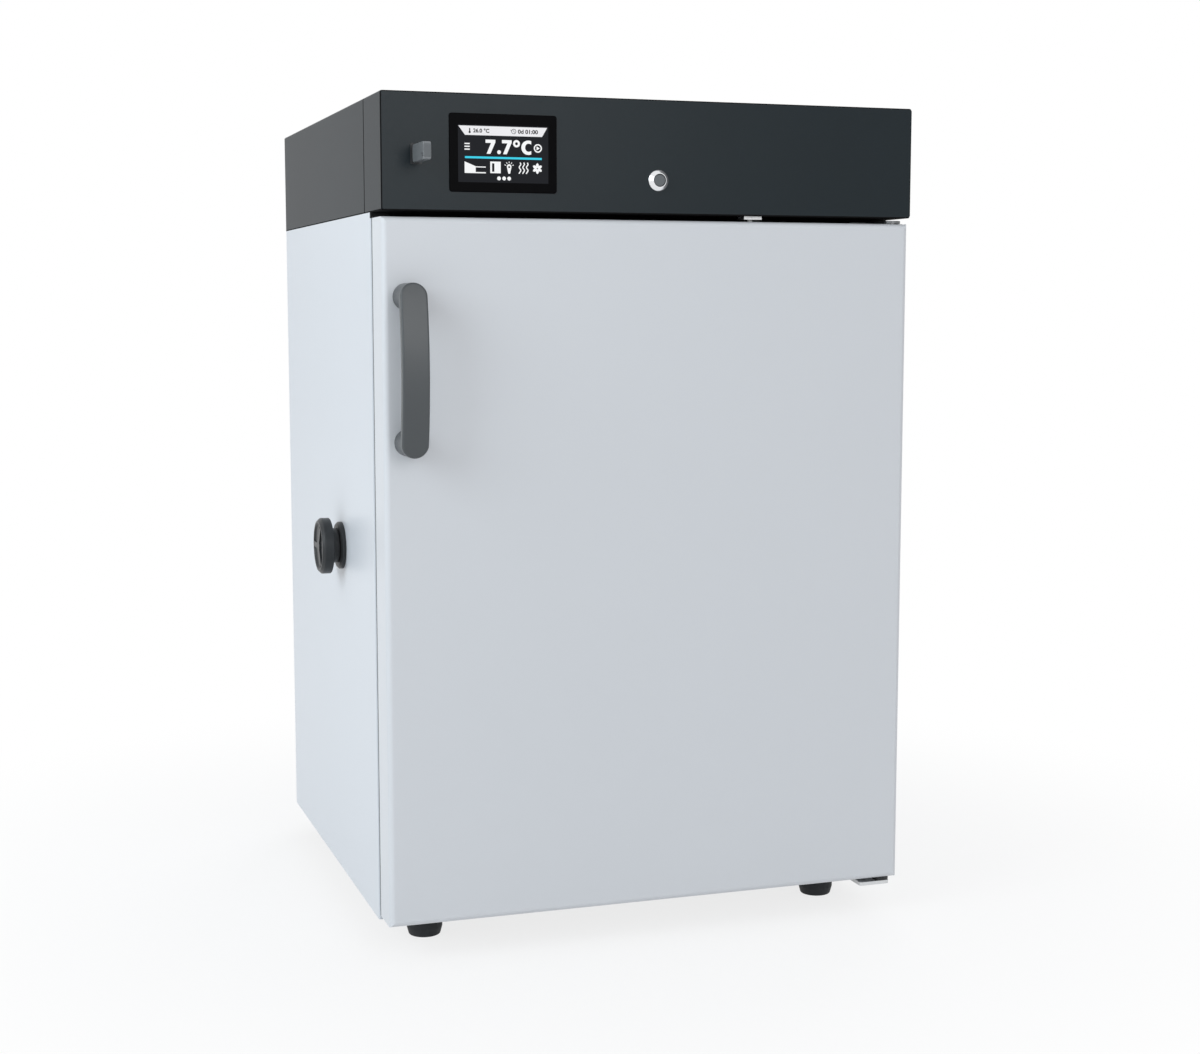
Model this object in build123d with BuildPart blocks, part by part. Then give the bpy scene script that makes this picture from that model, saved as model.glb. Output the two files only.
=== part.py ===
from build123d import *
from math import cos, radians, sin
import os

os.makedirs("parts", exist_ok=True)

# All sizes are in millimetres. The origin is on the floor under the middle of the cabinet, +X points
# to the right as seen from in front of the door, +Y to the back and +Z up.

# Cabinet
width = 600.0
depth = 590.0
height = 916.0
head_height = 120.0
foot_height = 34.0
sheet = 1.2
fold = 20.0
fold_radius = 2.0
side_wall = 55.0
roof_wall = 55.0
floor_wall = 58.0
back_wall = 60.0
liner_sheet = 1.0
tray_sheet = 2.0
tray_flange = 20.0
seat_gap = 0.3

# Feet
foot_radius = 20.0
foot_tip_radius = 17.5
foot_taper = 9.0
foot_rounding = 2.0
foot_screw_radius = 7.0
foot_screw_depth = 22.0
foot_inset_side = 60.0
foot_inset_front = 41.0
foot_inset_back = 50.0

# Machine bay at the bottom of the back
bay_depth = 205.0
bay_height = 200.0
bay_wall = 45.0

# Door
door_thickness = 49.0
door_skin = 1.0
door_edge_radius = 6.0
door_gap_top = 6.3
door_gap_bottom = 7.3
door_gap_right = 2.4
seal_gap = 8.0
plug_rise = 12.0
plug_margin = 12.0
plug_skin = 1.5
plug_rounding = 8.0
seal_width = 20.0
seal_bulb_width = 11.0
seal_lip = 3.0
seal_overlap = 5.0
seal_corner_radius = 10.0
seal_rounding = 2.0

# Handle
handle_length = 178.4
handle_width = 28.4
handle_thickness = 8.0
handle_reach = 45.0
handle_bow = 10.0
handle_edge = 2.2
handle_post_radius = 14.0
handle_post_pitch = 150.0
handle_inset = 24.5
handle_drop = 283.0

# Hinges
hinge_inset_side = 17.0
hinge_inset_front = 13.0
hinge_pin_radius = 4.0
hinge_pin_grip = 20.0
hinge_pin_chamfer = 0.6
hinge_plate = 3.0
hinge_plate_drop = 1.2
hinge_plate_width = 20.0
hinge_leg = 24.0
hinge_leg_width = 40.0
bracket_plate = 4.0
bracket_left_reach = 30.0
bracket_right_reach = 7.0
bracket_front_reach = 9.0
bracket_leg = 27.0
bracket_corner = 3.0
bush_radius = 7.0
bush_flange = 4.0
bush_flange_radius = 9.0
bush_running_gap = 0.06
bush_floor = 2.0
bush_end_gap = 1.0
hinge_screw_radius = 2.5
hinge_screw_head_radius = 4.6
hinge_screw_pitch = 14.0
hinge_screw_margin = 1.0
screw_fit = 0.1

# Head
fascia_reach = 84.0
fascia_sheet = 1.8
frame_sheet = 1.5
fascia_corner = 2.5
fascia_rounding = 0.8
head_seam = 0.8

# Display, centred from the top left corner of the fascia
display_width = 115.5
display_height = 80.0
display_across = 129.0
display_down = 60.5
display_proud = 1.5
display_corner = 3.0
display_body_margin = 4.0
display_body_depth = 14.0
screen_width = 97.0
screen_height = 58.4
screen_down = 61.3
screen_glass = 1.0
screen_sunk = 0.2

# Push button
button_down = 84.6
button_radius = 6.5
button_proud = 5.6
button_collar = 1.5
button_rounding = 0.6
ring_radius = 11.0
ring_rim_radius = 8.0
ring_proud = 6.0
ring_thread_radius = 8.0
ring_length = 18.0
nut_radius = 11.5
nut_thickness = 3.0
slide_gap = 0.3

# USB drive and its socket
drive_across = 36.6
drive_down = 63.0
drive_thickness = 8.2
drive_height = 18.0
drive_length = 50.0
drive_corner = 4.0
drive_edge = 0.8
drive_hole_radius = 2.2
drive_hole_margin = 1.0
drive_tongue_thickness = 4.5
drive_tongue_height = 12.0
drive_tongue_length = 11.5
socket_thickness = 12.0
socket_height = 21.0
socket_rim = 1.2
socket_depth = 16.0
socket_wall = 1.2
socket_corner = 1.5

# Door switch under the head
switch_across = 414.0
switch_setback = 10.0
switch_plate_width = 20.8
switch_plate_depth = 18.0
switch_plate_drop = 3.6
switch_body_width = 14.0
switch_body_depth = 12.0
switch_body_height = 22.0
switch_rod_radius = 2.8
switch_rod_length = 16.0
switch_travel = 3.0

# Access port in the left wall
port_back = 238.0
port_bore_radius = 17.0
port_sleeve_radius = 21.0
port_flange_radius = 27.1
port_flange_height = 6.0
port_flange_rounding = 2.0
port_ring_thickness = 2.5
plug_neck_radius = 20.0
plug_neck_length = 13.0
plug_head_radius = 31.9
plug_head_thickness = 8.5
plug_head_rounding = 3.0
plug_stem_length = 26.0
plug_dish_radius = 25.0
plug_dish_depth = 2.0
plug_boss_radius = 7.0
plug_spoke_width = 6.0
plug_spokes = 3

# Shelves and the racks that carry them
shelf_first_rise = 75.3
shelf_headroom = 86.7
shelf_names = ("shelf_bottom", "shelf_middle", "shelf_top")
shelf_front_gap = 34.0
rack_back_gap = 7.0
shelf_rod_radius = 3.0
shelf_wire_radius = 1.6
shelf_wire_pitch = 29.0
shelf_corner_radius = 14.0
shelf_side_gap = 1.5
rack_leg = 1.5
rack_shelf = 13.0
rack_sheet = 1.5
rack_drop = 10.0
rack_upright_width = 22.0
rack_upright_sheet = 2.0
rack_upright_inset = 40.0
rack_stop = 8.0

# Air duct at the back of the chamber
duct_depth = 64.0
duct_sheet = 1.2
duct_side_gap = 2.0
duct_slot_width = 60.0
duct_slot_height = 8.0
duct_slot_pitch_x = 76.0
duct_slot_pitch_z = 18.0
duct_slot_columns = 5
duct_slot_rows = 3
duct_slot_rise = 40.0

# Fans
fan_drop = 80.0
fan_guard_radius = 64.0
fan_guard_rings = (48.0, 32.0)
fan_guard_wire = 2.4
fan_guard_hub = 16.0
fan_guard_spokes = 4
wheel_tip_radius = 58.0
wheel_hub_radius = 17.0
wheel_root_sink = 1.0
wheel_hub_rounding = 2.0
wheel_length = 18.0
wheel_blades = 5
wheel_chord_root = 24.0
wheel_chord_tip = 34.0
wheel_blade_thickness = 1.6
wheel_pitch_root = 42.0
wheel_pitch_tip = 26.0
wheel_setback = 6.0
shaft_radius = 3.0
shaft_grip = 12.0
shaft_running_gap = 0.06
motor_radius = 30.0
motor_gap = 3.0
motor_plate = 3.0
motor_plate_width = 90.0
motor_plate_corner = 8.0
motor_rounding = 4.0

# Evaporator and heater in the duct
evaporator_width = 380.0
evaporator_depth = 36.0
evaporator_height = 110.0
evaporator_rise = 28.0
evaporator_fins = 12
evaporator_tubes = 3
evaporator_tube_radius = 5.0
fin_thickness = 0.8
end_plate_thickness = 2.0
heater_radius = 4.0
heater_half_width = 150.0
heater_rise = 14.0
heater_setback = 19.0
heater_bend = 12.0

# Lamp, probe and drain
lamp_length = 300.0
lamp_depth = 20.0
lamp_height = 9.0
lamp_setback = 26.0
lamp_rounding = 4.0
probe_across = 120.0
probe_clip_width = 12.0
probe_clip_depth = 12.0
probe_clip_height = 18.0
probe_drop = 40.0
probe_radius = 2.5
probe_length = 52.0
probe_rounding = 2.0
drain_across = -100.0
drain_setback = 34.0
drain_radius = 7.0
drain_bore = 5.0
drain_rim_radius = 11.0
drain_rim = 1.5
drain_tail = 16.0

# Compressor and drip pan
compressor_side = 150.0
compressor_setback = 105.0
compressor_radius = 75.0
compressor_height = 152.0
compressor_rise = 14.0
compressor_top_rounding = 34.0
compressor_bottom_rounding = 20.0
compressor_seam_radius = 78.0
compressor_seam_height = 5.0
compressor_foot_length = 172.0
compressor_foot_width = 116.0
compressor_foot_sheet = 3.0
compressor_foot_corner = 12.0
mount_pitch_x = 148.0
mount_pitch_y = 92.0
mount_radius = 9.0
mount_waist = 6.5
terminal_width = 44.0
terminal_depth = 30.0
terminal_height = 40.0
stub_radius = 5.0
stub_length = 10.0
liquid_stub_back = 25.0
liquid_stub_rise = 20.0
suction_stub_drop = 22.0
pan_length = 140.0
pan_width = 110.0
pan_height = 20.0
pan_wall = 1.6
pan_shift = 20.0
pan_corner = 10.0

# Condenser and its fan
condenser_side = 50.0
pipe_bay = 125.0
condenser_depth = 44.0
condenser_height = 150.0
condenser_back_gap = 10.0
condenser_fins = 12
condenser_tubes = 3
condenser_tube_radius = 4.5
condenser_foot = 14.0
cowl_width = 132.0
cowl_depth = 32.0
cowl_bore_gap = 3.0
cowl_strut = 5.0
cowl_corner = 8.0
cowl_wheel_inset = 2.3

# Filter drier and refrigerant pipes
drier_reach = 85.0
drier_radius = 10.0
drier_neck_radius = 4.5
drier_length = 80.0
drier_neck = 10.0
drier_bottom = 90.0
pipe_radius = 3.0
suction_radius = 4.0
pipe_bend = 12.0
pipe_setback = 30.6
chase_margin = 20.5
chase_depth = 45.0
chase_headroom = 16.0
liquid_hole_rise = 18.0
suction_hole_rise = 34.0
suction_rise_reach = 110.0
suction_reach = 20.0
gas_reach = 45.0
gas_setback = 12.0
suction_back_gap = 14.0
suction_drop = 19.0

# Back panel grille and head fittings
grille_slot_width = 70.0
grille_slot_height = 5.0
grille_columns = 6
grille_rows = 8
grille_pitch_x = 84.0
grille_pitch_z = 16.0
board_width = 132.0
board_height = 84.0
board_sheet = 1.6
board_post = 4.0
board_post_radius = 3.0
chip_height = 5.0
chip_width = 26.0
plug_row_height = 9.0
plug_row_pitch = 22.0
plug_row_gap = 4.4
plug_row_count = 5
supply_width = 98.0
supply_depth = 159.0
supply_height = 42.0
supply_across = 120.0
supply_back = 330.0
supply_notch = 18.0
vent_across = 120.0
vent_pitch = 12.0
vent_rows = 5
vent_width = 150.0
vent_height = 4.0
inlet_across = 70.0
inlet_down = 60.0
inlet_rim_width = 34.0
inlet_rim_height = 60.0
inlet_rim = 2.5
inlet_body_width = 29.0
inlet_body_height = 54.0
inlet_body_depth = 30.0
inlet_recess_width = 24.0
inlet_recess_height = 16.6
inlet_recess_depth = 20.0
inlet_recess_drop = 13.0
inlet_recess_corner = 3.0
inlet_pin_length = 12.0
inlet_pin_width = 2.0
inlet_pin_height = 4.0
inlet_pin_spread = 7.0
rocker_rise = 13.5
rocker_width = 12.0
rocker_height = 19.0
rocker_pocket_gap = 0.5
rocker_depth = 9.0
rocker_tilt = 7.0
rocker_crown = 2.5
rocker_foot = 4.0

# Places worked out from the sizes above
left, right = -width / 2, width / 2
front, back = -depth / 2, depth / 2
cabinet_bottom = foot_height
cabinet_top = height - head_height
cabinet_height = cabinet_top - cabinet_bottom
inner_width = width - 2 * sheet

door_back = front + door_thickness
cabinet_front = door_back + seal_gap
door_bottom = cabinet_bottom + door_gap_bottom
door_top = cabinet_top - door_gap_top
door_right = right - door_gap_right
door_width = door_right - left
door_height = door_top - door_bottom
door_middle_x = (left + door_right) / 2
door_middle_z = (door_bottom + door_top) / 2

tray_top = cabinet_bottom + tray_sheet
foam_front = cabinet_front + sheet
foam_back = back - 2 * sheet
chamber_width = width - 2 * side_wall
chamber_side = chamber_width / 2
chamber_floor = tray_top + floor_wall
chamber_roof = cabinet_top - roof_wall
chamber_back = back - back_wall
chamber_height = chamber_roof - chamber_floor
chamber_middle_z = (chamber_floor + chamber_roof) / 2
bay_front = back - bay_depth
bay_top = cabinet_bottom + bay_height
step_front = bay_front - bay_wall
step_top = bay_top + bay_wall
duct_front = chamber_back - duct_depth
shelf_first = step_top + shelf_first_rise
shelf_pitch = (chamber_roof - shelf_headroom - shelf_first) / (len(shelf_names) - 1)
shelf_levels = [shelf_first + place * shelf_pitch for place in range(len(shelf_names))]

hinge_x = right - hinge_inset_side
hinge_y = front + hinge_inset_front
port_y = front + port_back
port_z = (shelf_levels[0] + shelf_levels[1] - rack_drop) / 2
fan_z = chamber_roof - fan_drop
handle_x = left + handle_inset
handle_z = height - handle_drop
display_x = left + display_across
display_z = height - display_down
button_z = height - button_down
drive_x = left + drive_across
drive_z = height - drive_down
switch_x = left + switch_across
switch_y = front + switch_setback + switch_plate_depth / 2
inlet_x = left + inlet_across
inlet_z = height - inlet_down
evaporator_bottom = step_top + evaporator_rise
evaporator_top = evaporator_bottom + evaporator_height
coil_y = chamber_back - duct_depth / 2
pipe_y = foam_back - pipe_setback

compressor_x = left + compressor_side
stub_x = compressor_x + compressor_radius + stub_length
condenser_left = stub_x + pipe_bay
condenser_right = right - condenser_side
drier_x = stub_x + drier_reach
riser_x = stub_x + suction_rise_reach
chase_left = drier_x - chase_margin
chase_right = riser_x + chase_margin


def block(x0, x1, y0, y1, z0, z1, mode=Mode.ADD):
    """A box between two corners, made inside the part that is being built."""
    with Locations(((x0 + x1) / 2, (y0 + y1) / 2, (z0 + z1) / 2)):
        Box(x1 - x0, y1 - y0, z1 - z0, mode=mode)


def chamber_profile(grow):
    """The chamber's outline from the side, with its step over the machine bay, grown outwards."""
    return [
        (cabinet_front, chamber_floor - grow),
        (step_front + grow, chamber_floor - grow),
        (step_front + grow, step_top - grow),
        (chamber_back + grow, step_top - grow),
        (chamber_back + grow, chamber_roof + grow),
        (cabinet_front, chamber_roof + grow),
    ]


def front_plane(y):
    """A sketch plane that faces the front, with its X to the right and its Y up."""
    return Plane.XZ.offset(-y)


def upright_plane(x, y):
    """A sketch plane through an upright axis, with its X as the radius and its Y up."""
    return Plane(origin=(x, y, 0), x_dir=(1, 0, 0), z_dir=(0, -1, 0))


# Cabinet

with BuildPart() as base_tray:
    tray_middle_y = (foam_front + foam_back) / 2
    with BuildSketch(Plane.XY.offset(cabinet_bottom)):
        with Locations((0, tray_middle_y)):
            Rectangle(inner_width, foam_back - foam_front)
    extrude(amount=tray_sheet)
    with BuildSketch(Plane.XY.offset(tray_top)):
        for side in (-1, 1):
            with Locations((side * (inner_width - tray_sheet) / 2, (bay_front + sheet + foam_back) / 2)):
                Rectangle(tray_sheet, foam_back - bay_front - sheet)
    extrude(amount=tray_flange)
base_tray.part.label = "base_tray"
export_step(base_tray.part, "parts/base_tray.step")

foot_places = [
    (side * (right - foot_inset_side), y)
    for side in (-1, 1)
    for y in (cabinet_front + foot_inset_front, back - foot_inset_back)
]

with BuildPart() as foot_form:
    with BuildSketch(Plane.XZ):
        with BuildLine():
            Polyline(
                (0, 0),
                (foot_tip_radius, 0),
                (foot_radius, foot_taper),
                (foot_radius, foot_height),
                (0, foot_height),
                close=True,
            )
        make_face()
    revolve(axis=Axis.Z)
    fillet(foot_form.edges().group_by(Axis.Z)[0], radius=foot_rounding)
    with Locations((0, 0, 0)):
        Cylinder(
            foot_screw_radius,
            foot_screw_depth,
            align=(Align.CENTER, Align.CENTER, Align.MIN),
            mode=Mode.SUBTRACT,
        )

with BuildPart() as feet:
    with Locations(*[(x, y, 0) for x, y in foot_places]):
        add(foot_form.part)
feet.part.label = "feet"
export_step(feet.part, "parts/feet.step")


def side_profile(side):
    """A side panel from above: a flat side with a fold at the front and one at the back."""
    outer = side * width / 2
    inner = outer - side * sheet
    tip = outer - side * fold
    rear = back - sheet
    return [
        (tip, cabinet_front),
        (outer, cabinet_front),
        (outer, rear),
        (tip, rear),
        (tip, rear - sheet),
        (inner, rear - sheet),
        (inner, cabinet_front + sheet),
        (tip, cabinet_front + sheet),
    ]


with BuildPart() as side_panel_left:
    with BuildSketch(Plane.XY.offset(cabinet_bottom)):
        with BuildLine():
            Polyline(*side_profile(-1), close=True)
        make_face()
    extrude(amount=cabinet_height)
    fillet(side_panel_left.edges().filter_by(Axis.Z).group_by(Axis.X)[0], radius=fold_radius)
    with BuildSketch(Plane.YZ.offset(left)):
        with Locations((port_y, port_z)):
            Circle(port_sleeve_radius)
    extrude(amount=sheet, mode=Mode.SUBTRACT)
side_panel_left.part.label = "side_panel_left"
export_step(side_panel_left.part, "parts/side_panel_left.step")

with BuildPart() as side_panel_right:
    with BuildSketch(Plane.XY.offset(cabinet_bottom)):
        with BuildLine():
            Polyline(*side_profile(1), close=True)
        make_face()
    extrude(amount=cabinet_height)
    fillet(side_panel_right.edges().filter_by(Axis.Z).group_by(Axis.X)[-1], radius=fold_radius)
side_panel_right.part.label = "side_panel_right"
export_step(side_panel_right.part, "parts/side_panel_right.step")

with BuildPart() as back_panel:
    panel_width = width - 2 * fold_radius
    with BuildSketch(front_plane(back)):
        with Locations((0, cabinet_bottom + cabinet_height / 2)):
            Rectangle(panel_width, cabinet_height)
        with Locations((0, (tray_top + bay_top) / 2)):
            with GridLocations(grille_pitch_x, grille_pitch_z, grille_columns, grille_rows):
                SlotOverall(grille_slot_width, grille_slot_height, mode=Mode.SUBTRACT)
    extrude(amount=sheet)
back_panel.part.label = "back_panel"
export_step(back_panel.part, "parts/back_panel.step")

with BuildPart() as bay_panel:
    with BuildSketch(Plane.YZ.offset(-inner_width / 2)):
        with BuildLine():
            Polyline(
                (bay_front, tray_top),
                (bay_front + sheet, tray_top),
                (bay_front + sheet, bay_top - sheet),
                (foam_back, bay_top - sheet),
                (foam_back, bay_top),
                (bay_front, bay_top),
                close=True,
            )
        make_face()
    extrude(amount=inner_width)
    block(
        -inner_width / 2,
        -inner_width / 2 + tray_sheet,
        bay_front + sheet,
        foam_back,
        tray_top,
        tray_top + tray_flange,
        mode=Mode.SUBTRACT,
    )
    with Locations((drain_across, chamber_back - drain_setback, bay_top)):
        Cylinder(drain_radius, 4 * sheet, mode=Mode.SUBTRACT)
    block(
        chase_left,
        chase_right,
        foam_back - chase_depth,
        foam_back,
        bay_top - 2 * sheet,
        bay_top + sheet,
        mode=Mode.SUBTRACT,
    )
bay_panel.part.label = "bay_panel"
export_step(bay_panel.part, "parts/bay_panel.step")

# The two pipe holes from the chase in the foam to the duct
liquid_hole_z = evaporator_top + liquid_hole_rise
suction_hole_z = evaporator_top + suction_hole_rise
chase_top = suction_hole_z + chase_headroom

with BuildPart() as insulation:
    with BuildSketch(Plane.YZ.offset(-inner_width / 2)):
        with BuildLine():
            Polyline(
                (foam_front, tray_top),
                (bay_front, tray_top),
                (bay_front, bay_top),
                (foam_back, bay_top),
                (foam_back, cabinet_top),
                (foam_front, cabinet_top),
                close=True,
            )
        make_face()
    extrude(amount=inner_width)
    with BuildSketch(Plane.YZ.offset(-chamber_side - liner_sheet)):
        with BuildLine():
            Polyline(*chamber_profile(liner_sheet), close=True)
        make_face()
    extrude(amount=chamber_width + 2 * liner_sheet, mode=Mode.SUBTRACT)
    with BuildSketch(Plane.YZ.offset(left)):
        with Locations((port_y, port_z)):
            Circle(port_sleeve_radius)
    extrude(amount=side_wall, mode=Mode.SUBTRACT)
    with Locations((drain_across, chamber_back - drain_setback, (bay_top + step_top) / 2)):
        Cylinder(drain_radius, 2 * bay_wall, mode=Mode.SUBTRACT)
    block(
        chase_left,
        chase_right,
        foam_back - chase_depth,
        foam_back,
        bay_top,
        chase_top,
        mode=Mode.SUBTRACT,
    )
    with BuildSketch(front_plane(back)):
        with Locations((drier_x, liquid_hole_z)):
            Circle(pipe_radius)
        with Locations((riser_x, suction_hole_z)):
            Circle(suction_radius)
    extrude(amount=back_wall, mode=Mode.SUBTRACT)
insulation.part.label = "insulation"
export_step(insulation.part, "parts/insulation.step")

with BuildPart() as liner:
    with BuildSketch(Plane.YZ.offset(-chamber_side - liner_sheet)):
        with BuildLine():
            Polyline(*chamber_profile(liner_sheet), close=True)
        make_face()
    extrude(amount=chamber_width + 2 * liner_sheet)
    with BuildSketch(Plane.YZ.offset(-chamber_side)):
        with BuildLine():
            Polyline(*chamber_profile(0), close=True)
        make_face()
    extrude(amount=chamber_width, mode=Mode.SUBTRACT)
    block(
        left,
        right,
        cabinet_front,
        foam_front,
        cabinet_bottom,
        cabinet_top,
        mode=Mode.SUBTRACT,
    )
    with BuildSketch(Plane.YZ.offset(left)):
        with Locations((port_y, port_z)):
            Circle(port_sleeve_radius)
    extrude(amount=side_wall, mode=Mode.SUBTRACT)
    with Locations((drain_across, chamber_back - drain_setback, step_top)):
        Cylinder(drain_radius, 4 * liner_sheet, mode=Mode.SUBTRACT)
    with BuildSketch(front_plane(back)):
        with Locations((drier_x, liquid_hole_z)):
            Circle(pipe_radius)
        with Locations((riser_x, suction_hole_z)):
            Circle(suction_radius)
    extrude(amount=back_wall, mode=Mode.SUBTRACT)
liner.part.label = "liner"
export_step(liner.part, "parts/liner.step")

# Screw places of the two hinges, on the face of the cabinet
plate_top = cabinet_top - (door_gap_top - hinge_plate) / 2 - hinge_plate_drop
plate_bottom = plate_top - hinge_plate
bracket_top = door_bottom - bush_flange - seat_gap
bracket_bottom = bracket_top - bracket_plate
leg_middle_x = hinge_x - (hinge_leg_width - hinge_plate_width) / 2
bracket_middle_x = hinge_x + (bracket_right_reach - bracket_left_reach) / 2
top_screw_z = plate_bottom - (hinge_leg - hinge_plate) / 2
bottom_screw_z = bracket_top + bracket_leg / 2
first_screw_x = right - fold - hinge_screw_head_radius - hinge_screw_margin
screw_places_x = (first_screw_x, first_screw_x - hinge_screw_pitch)
top_screws = [(x, top_screw_z) for x in screw_places_x]
bottom_screws = [(x, bottom_screw_z) for x in screw_places_x]

with BuildPart() as front_frame:
    frame_width = width - 2 * fold
    with BuildSketch(front_plane(foam_front)):
        with Locations((0, cabinet_bottom + cabinet_height / 2)):
            Rectangle(frame_width, cabinet_height)
        with Locations((0, chamber_middle_z)):
            Rectangle(chamber_width, chamber_height, mode=Mode.SUBTRACT)
        with Locations(*top_screws, *bottom_screws):
            Circle(hinge_screw_radius + screw_fit, mode=Mode.SUBTRACT)
    extrude(amount=sheet)
front_frame.part.label = "front_frame"
export_step(front_frame.part, "parts/front_frame.step")

# Chamber fittings

rack_front = cabinet_front + shelf_front_gap
rack_back = duct_front - rack_back_gap
shelf_depth = rack_back - rack_stop - rack_front
rack_wall = chamber_side - rack_upright_sheet

for side, name in ((-1, "shelf_rack_left"), (1, "shelf_rack_right")):
    with BuildPart() as shelf_rack:
        # Two uprights stand against the chamber wall
        for y in (rack_front + rack_upright_inset, rack_back - rack_upright_inset):
            x0, x1 = sorted((side * chamber_side, side * rack_wall))
            block(
                x0,
                x1,
                y - rack_upright_width / 2,
                y + rack_upright_width / 2,
                step_top,
                shelf_levels[-1] + rack_drop,
            )
        # Each shelf slides on an angle with a stop at its back end
        for level in shelf_levels:
            with BuildSketch(front_plane(rack_back)):
                with BuildLine():
                    Polyline(
                        (side * rack_wall, level - rack_drop),
                        (side * rack_wall, level),
                        (side * (rack_wall - rack_shelf), level),
                        (side * (rack_wall - rack_shelf), level - rack_sheet),
                        (side * (rack_wall - rack_leg), level - rack_sheet),
                        (side * (rack_wall - rack_leg), level - rack_drop),
                        close=True,
                    )
                make_face()
            extrude(amount=rack_back - rack_front)
            x0, x1 = sorted((side * rack_wall, side * (rack_wall - rack_shelf)))
            block(x0, x1, rack_back - rack_sheet, rack_back, level, level + rack_stop)
    shelf_rack.part.label = name
    export_step(shelf_rack.part, f"parts/{name}.step")

shelf_half_width = rack_wall - shelf_side_gap
shelf_wires = int(2 * (shelf_half_width - shelf_corner_radius) / shelf_wire_pitch)

with BuildPart() as shelf_form:
    rod_half_x = shelf_half_width - shelf_rod_radius
    rod_y0 = shelf_rod_radius
    rod_y1 = shelf_depth - shelf_rod_radius
    with BuildLine() as rod_path:
        FilletPolyline(
            (-rod_half_x, rod_y0, 0),
            (rod_half_x, rod_y0, 0),
            (rod_half_x, rod_y1, 0),
            (-rod_half_x, rod_y1, 0),
            radius=shelf_corner_radius,
            close=True,
        )
    rod_start = Plane(origin=rod_path.line @ 0, z_dir=rod_path.line % 0)
    with BuildSketch(rod_start):
        Circle(shelf_rod_radius)
    sweep(path=rod_path.line)
    # The wires run from the front rod to the back rod, on top of a cross bar in the middle
    with BuildSketch(Plane.YZ.offset(-rod_half_x)):
        with Locations((shelf_depth / 2, 0)):
            Circle(shelf_rod_radius)
    extrude(amount=2 * rod_half_x)
    with BuildSketch(Plane.XZ.offset(-rod_y1)):
        with Locations((0, shelf_rod_radius - shelf_wire_radius / 2)):
            with GridLocations(shelf_wire_pitch, shelf_wire_pitch, shelf_wires, 1):
                Circle(shelf_wire_radius)
    extrude(amount=rod_y1 - rod_y0)

for name, level in zip(shelf_names, shelf_levels):
    with BuildPart() as shelf:
        with Locations((0, rack_front, level + seat_gap + shelf_rod_radius)):
            add(shelf_form.part)
    shelf.part.label = name
    export_step(shelf.part, f"parts/{name}.step")

with BuildPart() as duct_panel:
    duct_half = chamber_side - duct_side_gap
    with BuildSketch(Plane.XY.offset(step_top)):
        with BuildLine():
            Polyline(
                (-duct_half, chamber_back),
                (-duct_half, duct_front),
                (duct_half, duct_front),
                (duct_half, chamber_back),
                (duct_half - duct_sheet, chamber_back),
                (duct_half - duct_sheet, duct_front + duct_sheet),
                (-duct_half + duct_sheet, duct_front + duct_sheet),
                (-duct_half + duct_sheet, chamber_back),
                close=True,
            )
        make_face()
    extrude(amount=chamber_roof - step_top)
    # Guard of the circulation fan, cut as rings of slots between spokes
    with BuildSketch(front_plane(duct_front + duct_sheet)):
        with Locations((0, fan_z)):
            Circle(fan_guard_radius)
            for ring in fan_guard_rings:
                Circle(ring + fan_guard_wire, mode=Mode.SUBTRACT)
                Circle(ring)
            Circle(fan_guard_hub, mode=Mode.SUBTRACT)
            with PolarLocations(0, fan_guard_spokes // 2, angular_range=180):
                Rectangle(2 * fan_guard_radius, fan_guard_wire, mode=Mode.SUBTRACT)
    extrude(amount=duct_sheet, mode=Mode.SUBTRACT)
    # Air returns to the evaporator through slots at the bottom
    with BuildSketch(front_plane(duct_front + duct_sheet)):
        with Locations((0, step_top + duct_slot_rise)):
            with GridLocations(
                duct_slot_pitch_x, duct_slot_pitch_z, duct_slot_columns, duct_slot_rows
            ):
                SlotOverall(duct_slot_width, duct_slot_height)
    extrude(amount=duct_sheet, mode=Mode.SUBTRACT)
duct_panel.part.label = "duct_panel"
export_step(duct_panel.part, "parts/duct_panel.step")


def fan_wheel():
    """An axial fan wheel round the Z axis, with its front face on the ground plane."""
    with BuildPart() as blade:
        for radius, chord, pitch in (
            (wheel_hub_radius - wheel_root_sink, wheel_chord_root, wheel_pitch_root),
            (wheel_tip_radius, wheel_chord_tip, wheel_pitch_tip),
        ):
            section = Plane(
                origin=(radius, 0, wheel_length / 2),
                x_dir=(0, cos(radians(pitch)), sin(radians(pitch))),
                z_dir=(1, 0, 0),
            )
            with BuildSketch(section):
                Rectangle(chord, wheel_blade_thickness)
        loft()
        with BuildSketch():
            Circle(wheel_tip_radius)
        extrude(amount=wheel_length, mode=Mode.INTERSECT)
    with BuildPart() as wheel:
        Cylinder(wheel_hub_radius, wheel_length, align=(Align.CENTER, Align.CENTER, Align.MIN))
        fillet(wheel.edges().group_by(Axis.Z)[0], radius=wheel_hub_rounding)
        with PolarLocations(0, wheel_blades):
            add(blade.part)
        with Locations((0, 0, wheel_length - shaft_grip)):
            Cylinder(
                shaft_radius + shaft_running_gap,
                shaft_grip,
                align=(Align.CENTER, Align.CENTER, Align.MIN),
                mode=Mode.SUBTRACT,
            )
    return wheel.part


wheel_form = fan_wheel()
chamber_wheel_y = duct_front + duct_sheet + wheel_setback

with BuildPart() as chamber_fan_wheel:
    with Locations(Location((0, chamber_wheel_y, fan_z), (-90, 0, 0))):
        add(wheel_form)
chamber_fan_wheel.part.label = "chamber_fan_wheel"
export_step(chamber_fan_wheel.part, "parts/chamber_fan_wheel.step")

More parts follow.
